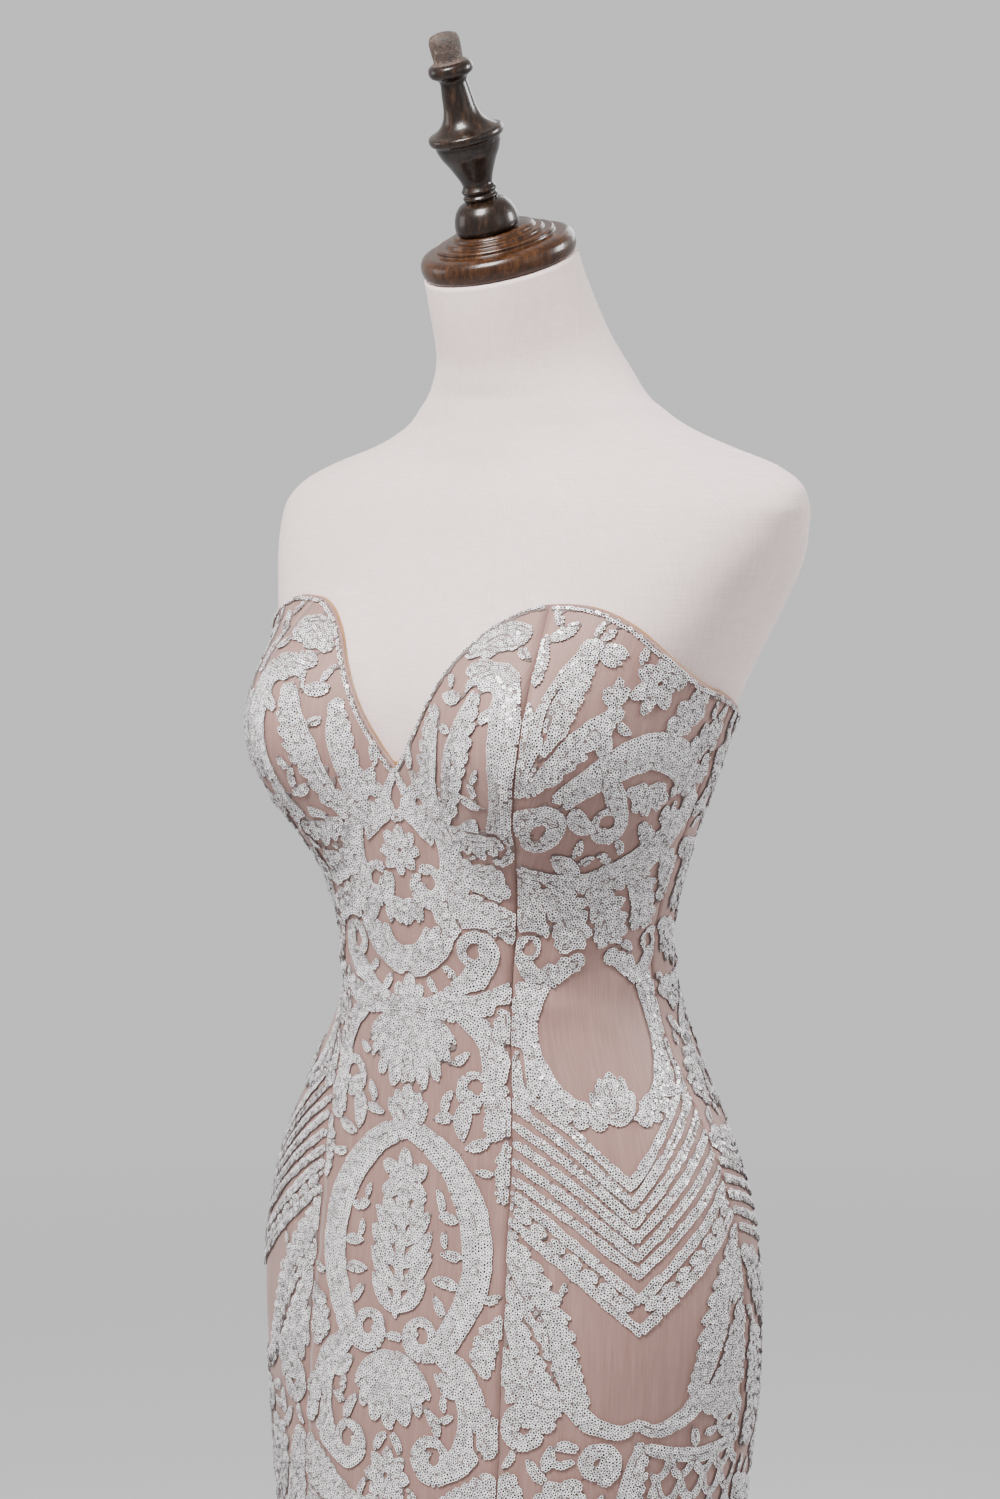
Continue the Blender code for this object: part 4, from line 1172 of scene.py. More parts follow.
def even_points(line, pitch, rng):
    """Points a pitch apart along a line, and the line's direction at each."""
    step = np.linalg.norm(np.diff(line, axis=0), axis=1)
    along = np.concatenate([[0], np.cumsum(step)])
    if along[-1] < pitch * 0.8:
        return np.empty((0, 2)), np.empty(0)
    count = max(1, int(round(along[-1] / pitch)))
    s = (np.arange(count) + rng.uniform(0, 1)) * along[-1] / count
    s = s + rng.normal(0, pitch * 0.045, count)
    s = np.clip(s, 0, along[-1])
    x, y = np.interp(s, along, line[:, 0]), np.interp(s, along, line[:, 1])
    wide = min(0.8, along[-1] / 4)
    ax, ay = (np.interp(np.clip(s - wide, 0, along[-1]), along, line[:, k]) for k in (0, 1))
    bx, by = (np.interp(np.clip(s + wide, 0, along[-1]), along, line[:, k]) for k in (0, 1))
    return np.stack([x, y], axis=1), np.arctan2(by - ay, bx - ax)


def stones(field, low, high, pitch, row, first, rng, blur=1):
    """Where each sequin sits between two heights: points and directions."""
    r0, r1 = int(low - field.y0), int(high - field.y0) + 1
    f = field.f[max(r0 - 3, 0) : r1 + 3].copy()
    base = max(r0 - 3, 0)
    for _ in range(blur):
        g = f.copy()
        g[1:-1, 1:-1] = (
            f[1:-1, 1:-1] * 4 + f[:-2, 1:-1] + f[2:, 1:-1] + f[1:-1, :-2] + f[1:-1, 2:]
        ) / 8
        f = np.where(f > EMPTY + 0.5, g, f)
    places, turns, rows = [], [], 0
    level = first
    while level < f.max():
        for line in contours(f, level):
            p, a = even_points(line, pitch, rng)
            places.append(p)
            turns.append(a)
        level += row
    rows = sum(len(p) for p in places)
    # what the rows leave open along the ridges is filled in last
    gx = np.arange(0, f.shape[1] - 1, pitch * 0.5)
    gy = np.arange(0, f.shape[0] - 1, pitch * 0.5)
    px, py = np.meshgrid(gx, gy)
    px = px + rng.uniform(-0.2, 0.2, px.shape)
    py = py + rng.uniform(-0.2, 0.2, py.shape)
    deep = two_way(f, np.clip(py, 0, None), np.clip(px, 0, None)) > first * 0.9
    places.append(np.stack([px[deep], py[deep]], axis=1))
    turns.append(rng.uniform(0, 6.28, int(deep.sum())))
    p, a = np.concatenate(places), np.concatenate(turns)
    jitter = rng.normal(0, 0.05 * pitch, p.shape)
    p = p + np.clip(jitter, -0.1 * pitch, 0.1 * pitch)
    wide, tight = (0.86 * pitch) ** 2, (0.79 * pitch) ** 2
    cells, kept = {}, []
    xs, ys = p[:, 0].tolist(), p[:, 1].tolist()
    for i in range(len(xs)):
        x, y = xs[i], ys[i]
        cx, cy = int(x / pitch), int(y / pitch)
        near = wide if i < rows else tight
        free = True
        for ox in (-1, 0, 1):
            for oy in (-1, 0, 1):
                for qx, qy in cells.get((cx + ox, cy + oy), ()):
                    if (qx - x) ** 2 + (qy - y) ** 2 < near:
                        free = False
                        break
                if not free:
                    break
            if not free:
                break
        if free:
            cells.setdefault((cx, cy), []).append((x, y))
            kept.append(i)
    p, a = p[kept], a[kept]
    x, y = field.x0 + p[:, 0], field.y0 + base + p[:, 1]
    inside = (y >= low) & (y < high)
    return x[inside], y[inside], a[inside]


# ----------------------------------------------------------------- mesh helpers
def mesh_object(name, points, faces, uv=None, smooth=True, materials=()):
    """A mesh from an array of points and an array of equal faces (n, 3 or 4)."""
    points = np.asarray(points, np.float32).reshape(-1, 3)
    faces = np.asarray(faces, np.int32)
    mesh = bpy.data.meshes.new(name)
    mesh.vertices.add(len(points))
    mesh.vertices.foreach_set("co", points.ravel())
    sides = faces.shape[1]
    mesh.loops.add(faces.size)
    mesh.loops.foreach_set("vertex_index", faces.ravel())
    mesh.polygons.add(len(faces))
    mesh.polygons.foreach_set("loop_start", np.arange(0, faces.size, sides, dtype=np.int32))
    mesh.update(calc_edges=True)
    mesh.polygons.foreach_set("use_smooth", np.full(len(faces), smooth))
    for layer, values in (uv or {}).items():
        made = mesh.uv_layers.new(name=layer)
        made.data.foreach_set("uv", np.asarray(values, np.float32).reshape(-1))
    for m in materials:
        mesh.materials.append(m)
    mesh.validate()
    obj = bpy.data.objects.new(name, mesh)
    bpy.context.scene.collection.objects.link(obj)
    return obj


def point_values(obj, name, values):
    layer = obj.data.attributes.new(name, "FLOAT", "POINT")
    layer.data.foreach_set("value", np.asarray(values, np.float32))


def grid_faces(rows, columns, loop=False):
    r = np.arange(rows - 1)[:, None]
    c = np.arange(columns if loop else columns - 1)[None, :]
    a = r * columns + c
    b = r * columns + (c + 1) % columns
    return np.stack([a, b, b + columns, a + columns], axis=-1).reshape(-1, 4)


def two_sided(outer, inner, loop=False):
    """Points and faces of a thin closed shell between two grids of points."""
    rows, columns = outer.shape[:2]
    points = np.concatenate([outer.reshape(-1, 3), inner.reshape(-1, 3)])
    under = rows * columns
    top = grid_faces(rows, columns, loop)
    bottom = grid_faces(rows, columns, loop)[:, ::-1] + under
    if loop:
        loops = [np.arange(columns + 1) % columns, (rows - 1) * columns + np.arange(columns, -1, -1) % columns]
    else:
        rim = [(0, c) for c in range(columns)]
        rim += [(r, columns - 1) for r in range(1, rows)]
        rim += [(rows - 1, c) for c in range(columns - 2, -1, -1)]
        rim += [(r, 0) for r in range(rows - 2, -1, -1)]
        loops = [np.array([r * columns + c for r, c in rim])]
    walls = [np.stack([l[:-1], l[:-1] + under, l[1:] + under, l[1:]], axis=1) for l in loops]
    return points, np.concatenate([top, bottom] + walls)


HEX = np.radians(np.arange(0, 360, 60) + 30.0)


def sequin_mesh(name, panel, x, y, turn, size, lift, rng, mats, flip=1.0):
    """Flat hexagonal discs, each tipped a little, sewn over the panel."""
    theta, z = panel.place(x / 1000.0, y / 1000.0)
    d = 0.0006
    theta_r, z_r = panel.place(x / 1000.0 + d * np.cos(turn), y / 1000.0 + d * np.sin(turn))
    if flip < 0:
        theta, theta_r = -theta, -theta_r
    n = len(x)
    height = lift + rng.uniform(-0.00010, 0.00016, n)
    centre, normal = on_skin(theta, z, height)
    ahead, _ = on_skin(theta_r, z_r, height)
    along = ahead - centre
    along -= normal * np.sum(along * normal, axis=1, keepdims=True)
    along /= np.maximum(np.linalg.norm(along, axis=1, keepdims=True), 1e-12)
    across = np.cross(normal, along)
    tip_a = np.clip(rng.normal(0.14, 0.11, n), -0.25, 0.38)[:, None]  # each lies on the edge of the next
    tip_b = np.clip(rng.normal(0.0, 0.11, n), -0.3, 0.3)[:, None]
    along_t = along + normal * tip_a
    across_t = across + normal * tip_b
    r = (size * rng.uniform(0.94, 1.05, n))[:, None]
    ring = [centre + (along_t * math.cos(a) + across_t * math.sin(a)) * r for a in HEX]
    points = np.stack(ring, axis=1).reshape(-1, 3)
    base = (np.arange(n) * 6)[:, None]
    # two quads make a flat hexagon
    faces = np.concatenate([base + [0, 1, 2, 3], base + [0, 3, 4, 5]], axis=1).reshape(-1, 4)
    cell = rng.integers(0, 64, n)
    cx, cy = (cell % 8 + 0.5) / 8, (cell // 8 + 0.5) / 8
    spin = rng.uniform(0, 6.28, n)
    u = cx[:, None] + 0.058 * np.cos(HEX[None, :] + spin[:, None])
    v = cy[:, None] + 0.058 * np.sin(HEX[None, :] + spin[:, None])
    uv = np.stack([u, v], axis=-1).reshape(-1, 2)
    loop_uv = uv[faces.ravel()]
    if flip < 0:
        faces = faces[:, ::-1]
        loop_uv = uv[faces.ravel()]
    return mesh_object(name, points, faces, {"disc": loop_uv, "OFBake": loop_uv}, False, mats)


def ground_mesh(name, field, panel, low, high, step, level, lift, mats, flip=1.0):
    """The raised ground under the sequins between two heights: the drawing's own
    outline, closed at its edge down to the cloth."""
    first = int(max(low - field.y0, 0))
    f = field.f[first : int(high - field.y0) + step : step, ::step]
    ny, nx = f.shape
    above = f > level
    # every cell is cut by its diagonal into two triangles, each trimmed at the level
    corner = np.arange(ny * nx).reshape(ny, nx)
    a, b, c, e = corner[:-1, :-1], corner[:-1, 1:], corner[1:, 1:], corner[1:, :-1]
    tris = np.concatenate([np.stack([a, b, c], -1).reshape(-1, 3), np.stack([a, c, e], -1).reshape(-1, 3)])
    inside = above.ravel()[tris]
    tris, inside = tris[inside.any(axis=1)], inside[inside.any(axis=1)]
    flat = f.ravel()
    whole = tris[inside.all(axis=1)]
    part, pin = tris[~inside.all(axis=1)], inside[~inside.all(axis=1)]
    edges, cut_points = {}, []
    extra = ny * nx

    def cut(i, j):
        key = (i, j) if i < j else (j, i)
        if key not in edges:
            t = (level - flat[key[0]]) / (flat[key[1]] - flat[key[0]])
            t = min(max(float(t), 0.02), 0.98)
            p, q = divmod(key[0], nx), divmod(key[1], nx)
            cut_points.append((p[1] + (q[1] - p[1]) * t, p[0] + (q[0] - p[0]) * t))
            edges[key] = extra + len(cut_points) - 1
        return edges[key]

    made, rim = [], []
    for tri, hit in zip(part.tolist(), pin.tolist()):
        k = sum(hit)
        if k == 1:
            s = hit.index(True)
            p, q, r = tri[s], tri[(s + 1) % 3], tri[(s + 2) % 3]
            pq, pr = cut(p, q), cut(p, r)
            made.append((p, pq, pr))
            rim.append((pq, pr))
        else:
            s = hit.index(False)
            p, q, r = tri[s], tri[(s + 1) % 3], tri[(s + 2) % 3]
            pq, pr = cut(p, q), cut(p, r)
            made.append((pq, q, r))
            made.append((pq, r, pr))
            rim.append((pr, pq))
    tri_all = np.concatenate([whole, np.array(made, np.int64).reshape(-1, 3)])
    gx = np.tile(np.arange(nx), ny).astype(float)
    gy = np.repeat(np.arange(ny), nx).astype(float)
    cp = np.array(cut_points).reshape(-1, 2)
    gx, gy = np.concatenate([gx, cp[:, 0]]), np.concatenate([gy, cp[:, 1]])
    used, back = np.unique(tri_all, return_inverse=True)
    tri_all = back.reshape(-1, 3)
    lookup = {int(u): i for i, u in enumerate(used.tolist()) if u >= extra}
    x = (field.x0 + gx[used] * step) / 1000.0
    y = (field.y0 + first + gy[used] * step) / 1000.0
    depth = np.where(used >= extra, level, np.concatenate([flat, np.full(len(cp), level)])[used])
    theta, z = panel.place(x, y)
    if flip < 0:
        theta = -theta
    soft = lift * (0.62 + 0.38 * np.clip(depth / 2.4, 0, 1))
    top, _ = on_skin(theta, z, soft)
    rim_ids = np.array([(lookup[p], lookup[q]) for p, q in rim], np.int64)
    edge = np.unique(rim_ids)
    place_of = {int(e): i for i, e in enumerate(edge.tolist())}
    foot, _ = on_skin(theta[edge], z[edge], np.full(len(edge), 0.00003))
    count = len(used)
    walls = []
    for p, q in rim_ids.tolist():
        fp, fq = count + place_of[p], count + place_of[q]
        walls.append((q, p, fp))
        walls.append((q, fp, fq))
    faces = np.concatenate([tri_all, np.array(walls, np.int64).reshape(-1, 3)])
    points = np.concatenate([top, foot])
    if flip < 0:
        faces = faces[:, ::-1]
    obj = mesh_object(name, points, faces, smooth=True, materials=mats)
    # the walls' feet get a depth below the level, where the thread's painted edge shadow is darkest
    point_values(obj, "depth", np.concatenate([np.clip(depth, -1, 6), np.full(len(edge), level - 0.6)]))
    return obj


# ------------------------------------------------------------------- materials
class Nodes:
    """Short names for building a material's nodes."""

    def __init__(self, name, roughness=0.6, **sockets):
        self.mat = bpy.data.materials.new(name)
        self.mat.use_nodes = True
        self.tree = self.mat.node_tree
        self.shader = self.tree.nodes["Principled BSDF"]
        self.shader.inputs["Roughness"].default_value = roughness
        for key, value in sockets.items():
            self.shader.inputs[key.replace("_", " ")].default_value = value

    def link(self, a, b):
        self.tree.links.new(a, b)

    def value_in(self, socket, value):
        if isinstance(value, bpy.types.NodeSocket):
            self.link(value, socket)
        else:
            socket.default_value = value

    def math(self, operation, a, b=0.0, clamp=False):
        n = self.tree.nodes.new("ShaderNodeMath")
        n.operation, n.use_clamp = operation, clamp
        self.value_in(n.inputs[0], a)
        self.value_in(n.inputs[1], b)
        return n.outputs[0]

    def vector_math(self, operation, a, b=None):
        n = self.tree.nodes.new("ShaderNodeVectorMath")
        n.operation = operation
        self.value_in(n.inputs[0], a)
        if b is not None:
            self.value_in(n.inputs[1], b)
        return n.outputs["Value"] if operation in ("LENGTH", "DISTANCE", "DOT_PRODUCT") else n.outputs[0]

    def place(self, turn=(0, 0, 0), size=(1, 1, 1), uv=None):
        if uv:
            source = self.tree.nodes.new("ShaderNodeUVMap")
            source.uv_map = uv
            out = source.outputs[0]
        else:
            source = self.tree.nodes.new("ShaderNodeTexCoord")
            out = source.outputs["Object"]
        m = self.tree.nodes.new("ShaderNodeMapping")
        m.inputs["Rotation"].default_value = turn
        m.inputs["Scale"].default_value = size
        self.link(out, m.inputs["Vector"])
        return m.outputs[0]

    def noise(self, vector, scale, detail=3.0, roughness=0.5, distortion=0.0):
        n = self.tree.nodes.new("ShaderNodeTexNoise")
        n.inputs["Scale"].default_value = scale
        n.inputs["Detail"].default_value = detail
        n.inputs["Roughness"].default_value = roughness
        n.inputs["Distortion"].default_value = distortion
        self.link(vector, n.inputs["Vector"])
        return n.outputs["Fac"]

    def wave(self, vector, scale, distortion=0.0, direction="X", detail=2.0, detail_scale=1.0):
        n = self.tree.nodes.new("ShaderNodeTexWave")
        n.bands_direction = direction
        n.inputs["Scale"].default_value = scale
        n.inputs["Distortion"].default_value = distortion
        n.inputs["Detail"].default_value = detail
        n.inputs["Detail Scale"].default_value = detail_scale
        self.link(vector, n.inputs["Vector"])
        return n.outputs["Fac"]

    def ramp(self, fac, *stops):
        n = self.tree.nodes.new("ShaderNodeValToRGB")
        self.link(fac, n.inputs["Fac"])
        band = n.color_ramp
        while len(band.elements) < len(stops):
            band.elements.new(0.5)
        for e, (at, colour) in zip(band.elements, stops):
            e.position, e.color = at, (*colour, 1.0)
        return n.outputs["Color"]

    def mix(self, fac, a, b, blend="MIX"):
        n = self.tree.nodes.new("ShaderNodeMix")
        n.data_type, n.blend_type = "RGBA", blend
        self.value_in(n.inputs[0], fac)
        for socket, value in ((n.inputs[6], a), (n.inputs[7], b)):
            if isinstance(value, bpy.types.NodeSocket):
                self.link(value, socket)
            else:
                socket.default_value = (*value, 1.0)
        return n.outputs[2]

    def attribute(self, name):
        n = self.tree.nodes.new("ShaderNodeAttribute")
        n.attribute_name = name
        return n.outputs["Fac"]

    def bump(self, height, strength, distance):
        n = self.tree.nodes.new("ShaderNodeBump")
        n.inputs["Strength"].default_value = strength
        n.inputs["Distance"].default_value = distance
        self.link(height, n.inputs["Height"])
        self.link(n.outputs[0], self.shader.inputs["Normal"])

    def colour(self, socket):
        self.link(socket, self.shader.inputs["Base Color"])

    def rough(self, socket, low, high):
        n = self.tree.nodes.new("ShaderNodeMapRange")
        self.link(socket, n.inputs["Value"])
        n.inputs["To Min"].default_value, n.inputs["To Max"].default_value = low, high
        self.link(n.outputs[0], self.shader.inputs["Roughness"])


def blush_mesh():
    """Dusty blush mesh over satin: fine upright threads and soft cloudy shade."""
    m = Nodes("blush_mesh", 0.62, Sheen_Weight=0.12, Sheen_Roughness=0.5)
    uv = m.place(size=(1, 1, 1), uv="cloth")
    upright = m.noise(m.place(size=(1.0, 0.045, 1.0), uv="cloth"), 900.0, 2.0, 0.6)
    streak = m.noise(m.place(size=(1.0, 0.03, 1.0), uv="cloth"), 160.0, 3.0, 0.6)
    net = m.math(
        "MULTIPLY",
        m.wave(m.place(turn=(0, 0, 0.79), uv="cloth"), 420.0),
        m.wave(m.place(turn=(0, 0, -0.79), uv="cloth"), 420.0),
    )
    cloud = m.noise(uv, 26.0, 2.0)
    thread = m.math("ADD", m.math("MULTIPLY", upright, 0.55), m.math("MULTIPLY", streak, 0.45))
    base = m.ramp(thread, (0.30, (0.170, 0.088, 0.073)), (0.52, (0.224, 0.124, 0.104)), (0.72, (0.290, 0.171, 0.147)))
    base = m.mix(m.math("MULTIPLY", net, 0.38), base, (0.123, 0.062, 0.052))
    base = m.mix(m.math("MULTIPLY", cloud, 0.30), base, (0.262, 0.150, 0.129))
    m.colour(base)
    m.rough(thread, 0.52, 0.72)
    m.bump(m.math("ADD", thread, m.math("MULTIPLY", net, 0.5)), 0.25, 0.0004)
    return m.mat


def sewn_ground():
    """Greige thread under the sequins, its dark tone partly painted shade for the gaps between them, with a painted
    shadow along its edge, darkest on the wall where it drops to the cloth.
    """
    m = Nodes("sewn_thread", 0.75)
    depth = m.attribute("depth")
    spot = m.place()
    fuzz = m.noise(spot, 900.0, 2.0, 0.6)
    # painted shadow: the depth darkens the thread to near black at its edge and wall, paler inward
    edge = m.math("ADD", m.math("MULTIPLY", depth, 0.45), 0.35, clamp=True)
    base = m.ramp(edge, (0.0, (0.050, 0.030, 0.026)), (0.35, (0.085, 0.056, 0.051)), (0.70, (0.130, 0.094, 0.088)), (1.0, (0.155, 0.120, 0.114)))
    m.colour(m.mix(m.math("MULTIPLY", fuzz, 0.4), base, (0.19, 0.155, 0.150)))
    m.bump(fuzz, 0.5, 0.0004)
    return m.mat


def sequin():
    """A pearly white cup sequin: a bright ring about its thread hole, the hole painted near black as painted shade and
    a band of painted shade round its outer rim; each of the sixty-four cells of its map a slightly different one."""
    m = Nodes("pearl_sequin", 0.30, Specular_IOR_Level=0.5, Coat_Weight=0.6, Coat_Roughness=0.10)
    uv = m.place(size=(8, 8, 1), uv="disc")
    cell = m.vector_math("FLOOR", uv)
    local = m.vector_math("SUBTRACT", m.vector_math("FRACTION", uv), (0.5, 0.5, 0.0))
    r = m.vector_math("LENGTH", local)
    n = m.tree.nodes.new("ShaderNodeTexWhiteNoise")
    n.noise_dimensions = "2D"
    m.link(cell, n.inputs["Vector"])
    tone = n.outputs["Value"]
    shine = m.ramp(tone, (0.0, (0.78, 0.74, 0.74)), (0.35, (0.86, 0.825, 0.828)), (0.8, (0.93, 0.905, 0.91)), (1.0, (1.0, 0.99, 0.99)))
    tinted = m.mix(0.04, shine, n.outputs["Color"])
    # painted shade: the ring's dark middle stands for the shaded thread hole, a little wider or narrower from cell to
    # cell, and its darker outer band is painted shade at the rim
    wider = m.math("ADD", r, m.math("MULTIPLY", m.math("SUBTRACT", tone, 0.5), 0.07))
    ring = m.ramp(wider, (0.215, (0.008, 0.006, 0.007)), (0.245, (0.14, 0.13, 0.135)), (0.275, (1.0, 1.0, 1.0)), (0.41, (1.0, 1.0, 1.0)), (0.46, (0.52, 0.46, 0.455)))
    m.colour(m.mix(1.0, tinted, ring, "MULTIPLY"))
    m.rough(tone, 0.18, 0.42)
    m.bump(r, 0.55, 0.0006)
    return m.mat


def tan_facing():
    """Golden tan satin bias."""
    m = Nodes("facing_satin", 0.42, Sheen_Weight=0.15)
    grain = m.noise(m.place(size=(1.0, 0.06, 1.0), uv="cloth"), 700.0, 3.0, 0.6)
    wide = m.noise(m.place(uv="cloth"), 60.0, 2.0)
    base = m.ramp(grain, (0.25, (0.19, 0.082, 0.020)), (0.55, (0.31, 0.148, 0.042)), (0.8, (0.43, 0.235, 0.080)))
    m.colour(m.mix(m.math("MULTIPLY", wide, 0.35), base, (0.25, 0.118, 0.034)))
    m.rough(grain, 0.34, 0.52)
    m.bump(grain, 0.3, 0.0003)
    return m.mat


def linen():
    """Off-white linen, plain weave with a few slubs."""
    m = Nodes("form_linen", 0.85, Sheen_Weight=0.08)
    across = m.noise(m.place(size=(0.05, 1.0, 1.0), uv="cloth"), 1100.0, 2.0, 0.55)
    upright = m.noise(m.place(size=(1.0, 0.05, 1.0), uv="cloth"), 1100.0, 2.0, 0.55)
    slub_a = m.noise(m.place(size=(0.10, 1.0, 1.0), uv="cloth"), 210.0, 2.0, 0.5)
    slub_b = m.noise(m.place(size=(1.0, 0.10, 1.0), uv="cloth"), 190.0, 2.0, 0.5)
    cloud = m.noise(m.place(uv="cloth"), 9.0, 3.0)
    weave = m.math("ADD", m.math("MULTIPLY", across, 0.5), m.math("MULTIPLY", upright, 0.5))
    slub = m.math("MAXIMUM", slub_a, slub_b)
    base = m.ramp(weave, (0.32, (0.505, 0.395, 0.380)), (0.52, (0.600, 0.478, 0.462)), (0.70, (0.670, 0.545, 0.527)))
    light = m.math("MULTIPLY", m.math("SUBTRACT", slub, 0.62, clamp=True), 2.6, clamp=True)
    base = m.mix(light, base, (0.72, 0.610, 0.592))
    dust = m.math("MULTIPLY", m.math("SUBTRACT", 0.36, slub_a, clamp=True), 1.4, clamp=True)
    base = m.mix(dust, base, (0.46, 0.350, 0.335))
    pulled = m.noise(m.place(turn=(0, 0, 0.9), size=(1.0, 0.22, 1.0), uv="cloth"), 16.0, 3.0, 0.55, 0.6)
    m.colour(m.mix(m.math("MULTIPLY", cloud, 0.34), base, (0.500, 0.392, 0.376)))
    m.rough(weave, 0.78, 0.92)
    height = m.math("ADD", weave, m.math("MULTIPLY", slub, 0.6))
    m.bump(m.math("ADD", height, m.math("MULTIPLY", pulled, 5.0)), 0.34, 0.0006)
    return m.mat


def lacquered(name, dark, mid, light, lean, coat=0.9, rough_from=None):
    """Turned wood under lacquer: grain along its length, darker in broad soft patches."""
    m = Nodes(name, 0.28, Coat_Weight=coat, Coat_Roughness=0.06, Specular_IOR_Level=0.22)
    along = m.place(turn=(-lean, 0, 0), size=(1.0, 1.0, 0.10))
    grain = m.noise(along, 260.0, 4.0, 0.6, 0.4)
    fleck = m.noise(m.place(turn=(-lean, 0, 0), size=(1.0, 1.0, 0.25)), 900.0, 2.0, 0.6)
    wide = m.noise(m.place(), 34.0, 3.0, 0.55)
    mixed = m.math("ADD", m.math("MULTIPLY", grain, 0.6), m.math("MULTIPLY", fleck, 0.4))
    base = m.ramp(mixed, (0.32, dark), (0.50, mid), (0.70, light))
    m.colour(m.mix(m.math("MULTIPLY", wide, 0.45), base, dark))
    m.rough(mixed, 0.20, 0.42)
    m.bump(m.math("ADD", mixed, m.math("MULTIPLY", wide, 0.8)), 0.12, 0.0006)
    return m.mat


def rough_knob():
    """The finial's top knob, unlacquered and pitted."""
    m = Nodes("knob_bare_wood", 0.7)
    pits = m.noise(m.place(), 420.0, 4.0, 0.7)
    wide = m.noise(m.place(), 120.0, 2.0)
    mixed = m.math("ADD", m.math("MULTIPLY", pits, 0.6), m.math("MULTIPLY", wide, 0.4))
    m.colour(m.ramp(mixed, (0.35, (0.010, 0.006, 0.005)), (0.55, (0.045, 0.026, 0.018)), (0.75, (0.17, 0.12, 0.09))))
    m.rough(pits, 0.45, 0.85)
    m.bump(pits, 0.9, 0.0012)
    return m.mat


def stand_paint():
    """Dark bronze paint with faint brushing and dust."""
    m = Nodes("stand_bronze", 0.4, Metallic=0.75)
    brushed = m.noise(m.place(size=(1, 1, 0.06)), 500.0, 3.0, 0.6)
    dust = m.noise(m.place(), 22.0, 4.0, 0.6)
    base = m.ramp(brushed, (0.3, (0.035, 0.028, 0.024)), (0.7, (0.075, 0.062, 0.052)))
    m.colour(m.mix(m.math("MULTIPLY", dust, 0.35), base, (0.14, 0.125, 0.11)))
    m.rough(dust, 0.30, 0.55)
    m.bump(brushed, 0.10, 0.0003)
    return m.mat


SKY, SKY_STRENGTH = (0.90, 0.90, 0.92), 0.84


def pale_floor():
    """A pale floor that fades into the plain backdrop some metres off."""
    m = Nodes("studio_floor", 0.8)
    cloud = m.noise(m.place(), 1.2, 3.0)
    m.colour(m.ramp(cloud, (0.3, (0.58, 0.58, 0.585)), (0.7, (0.61, 0.61, 0.615))))
    away = m.math("DIVIDE", m.math("SUBTRACT", m.vector_math("LENGTH", m.place()), 1.1), 3.6, clamp=True)
    glow = m.tree.nodes.new("ShaderNodeEmission")
    glow.inputs["Color"].default_value = (*SKY, 1.0)
    glow.inputs["Strength"].default_value = SKY_STRENGTH
    blend = m.tree.nodes.new("ShaderNodeMixShader")
    m.link(away, blend.inputs[0])
    m.link(m.shader.outputs[0], blend.inputs[1])
    m.link(glow.outputs[0], blend.inputs[2])
    m.link(blend.outputs[0], m.tree.nodes["Material Output"].inputs["Surface"])
    return m.mat




# ------------------------------------------------------------------ the dress
cloth_mat, thread_mat, sequin_mat = blush_mesh(), sewn_ground(), sequin()
SKIN_UPPER, SKIN_LOWER = 0.006, 0.013  # the shells' nets, above and below the knee
THIN = 0.0016
GROUND_LIFT = 0.0009
STONE_LIFT = 0.0014


def panel_shell(name, panel, flip):
    """The panel's cloth: a thin two-sided shell on the creased form."""
    low = np.arange(panel.up[2], KNEE / 1000.0, SKIN_LOWER)
    flat_rows = np.concatenate([low, np.arange(KNEE / 1000.0, 1.128, SKIN_UPPER)])
    wide = panel.half_at(np.array([0.85]))[0] * 2
    columns = int(wide / SKIN_UPPER)
    t = np.linspace(-1, 1, columns + 1)
    shares = np.linspace(0, 1, 42)[1:]
    theta, z = [], []
    for up in flat_rows:
        h = np.full(columns + 1, up)
        a, b = panel.place(t * (panel.half_at(h) - 0.00016), h)
        theta.append(a)
        z.append(b)
    for share in shares:
        h = np.full(columns + 1, 1.128 + share * 0.12)
        for _ in range(14):
            a, b = panel.place(t * (panel.half_at(h) - 0.00016), h)
            h = 1.128 + share * (top_edge(a) - 1.128)
        theta.append(a)
        z.append(b)
    theta, z = np.array(theta), np.array(z)
    across = t[None, :] * panel.half_at(np.interp(z, panel.rows, panel.up))
    up = np.interp(z, panel.rows, panel.up)
    if flip < 0:
        theta = -theta
    outer, _ = on_skin(theta, z, np.zeros_like(z))
    inner, _ = on_skin(theta, z, np.full_like(z, -THIN))
    inner[0, :, 2] = outer[0, :, 2]
    points, faces = two_sided(outer, inner)
    uv = np.concatenate([np.stack([across, up], -1).reshape(-1, 2)] * 2)
    if flip < 0:
        faces = faces[:, ::-1]
    obj = mesh_object(name, points, faces, {"cloth": uv[faces.ravel()]}, True, [cloth_mat])
    sides = np.linalg.norm(
        np.cross(outer[1:, :-1] - outer[:-1, :-1], outer[:-1, 1:] - outer[:-1, :-1]), axis=-1
    )
    return obj, float(sides.sum()), float(panel.up[-1] - panel.up[2])


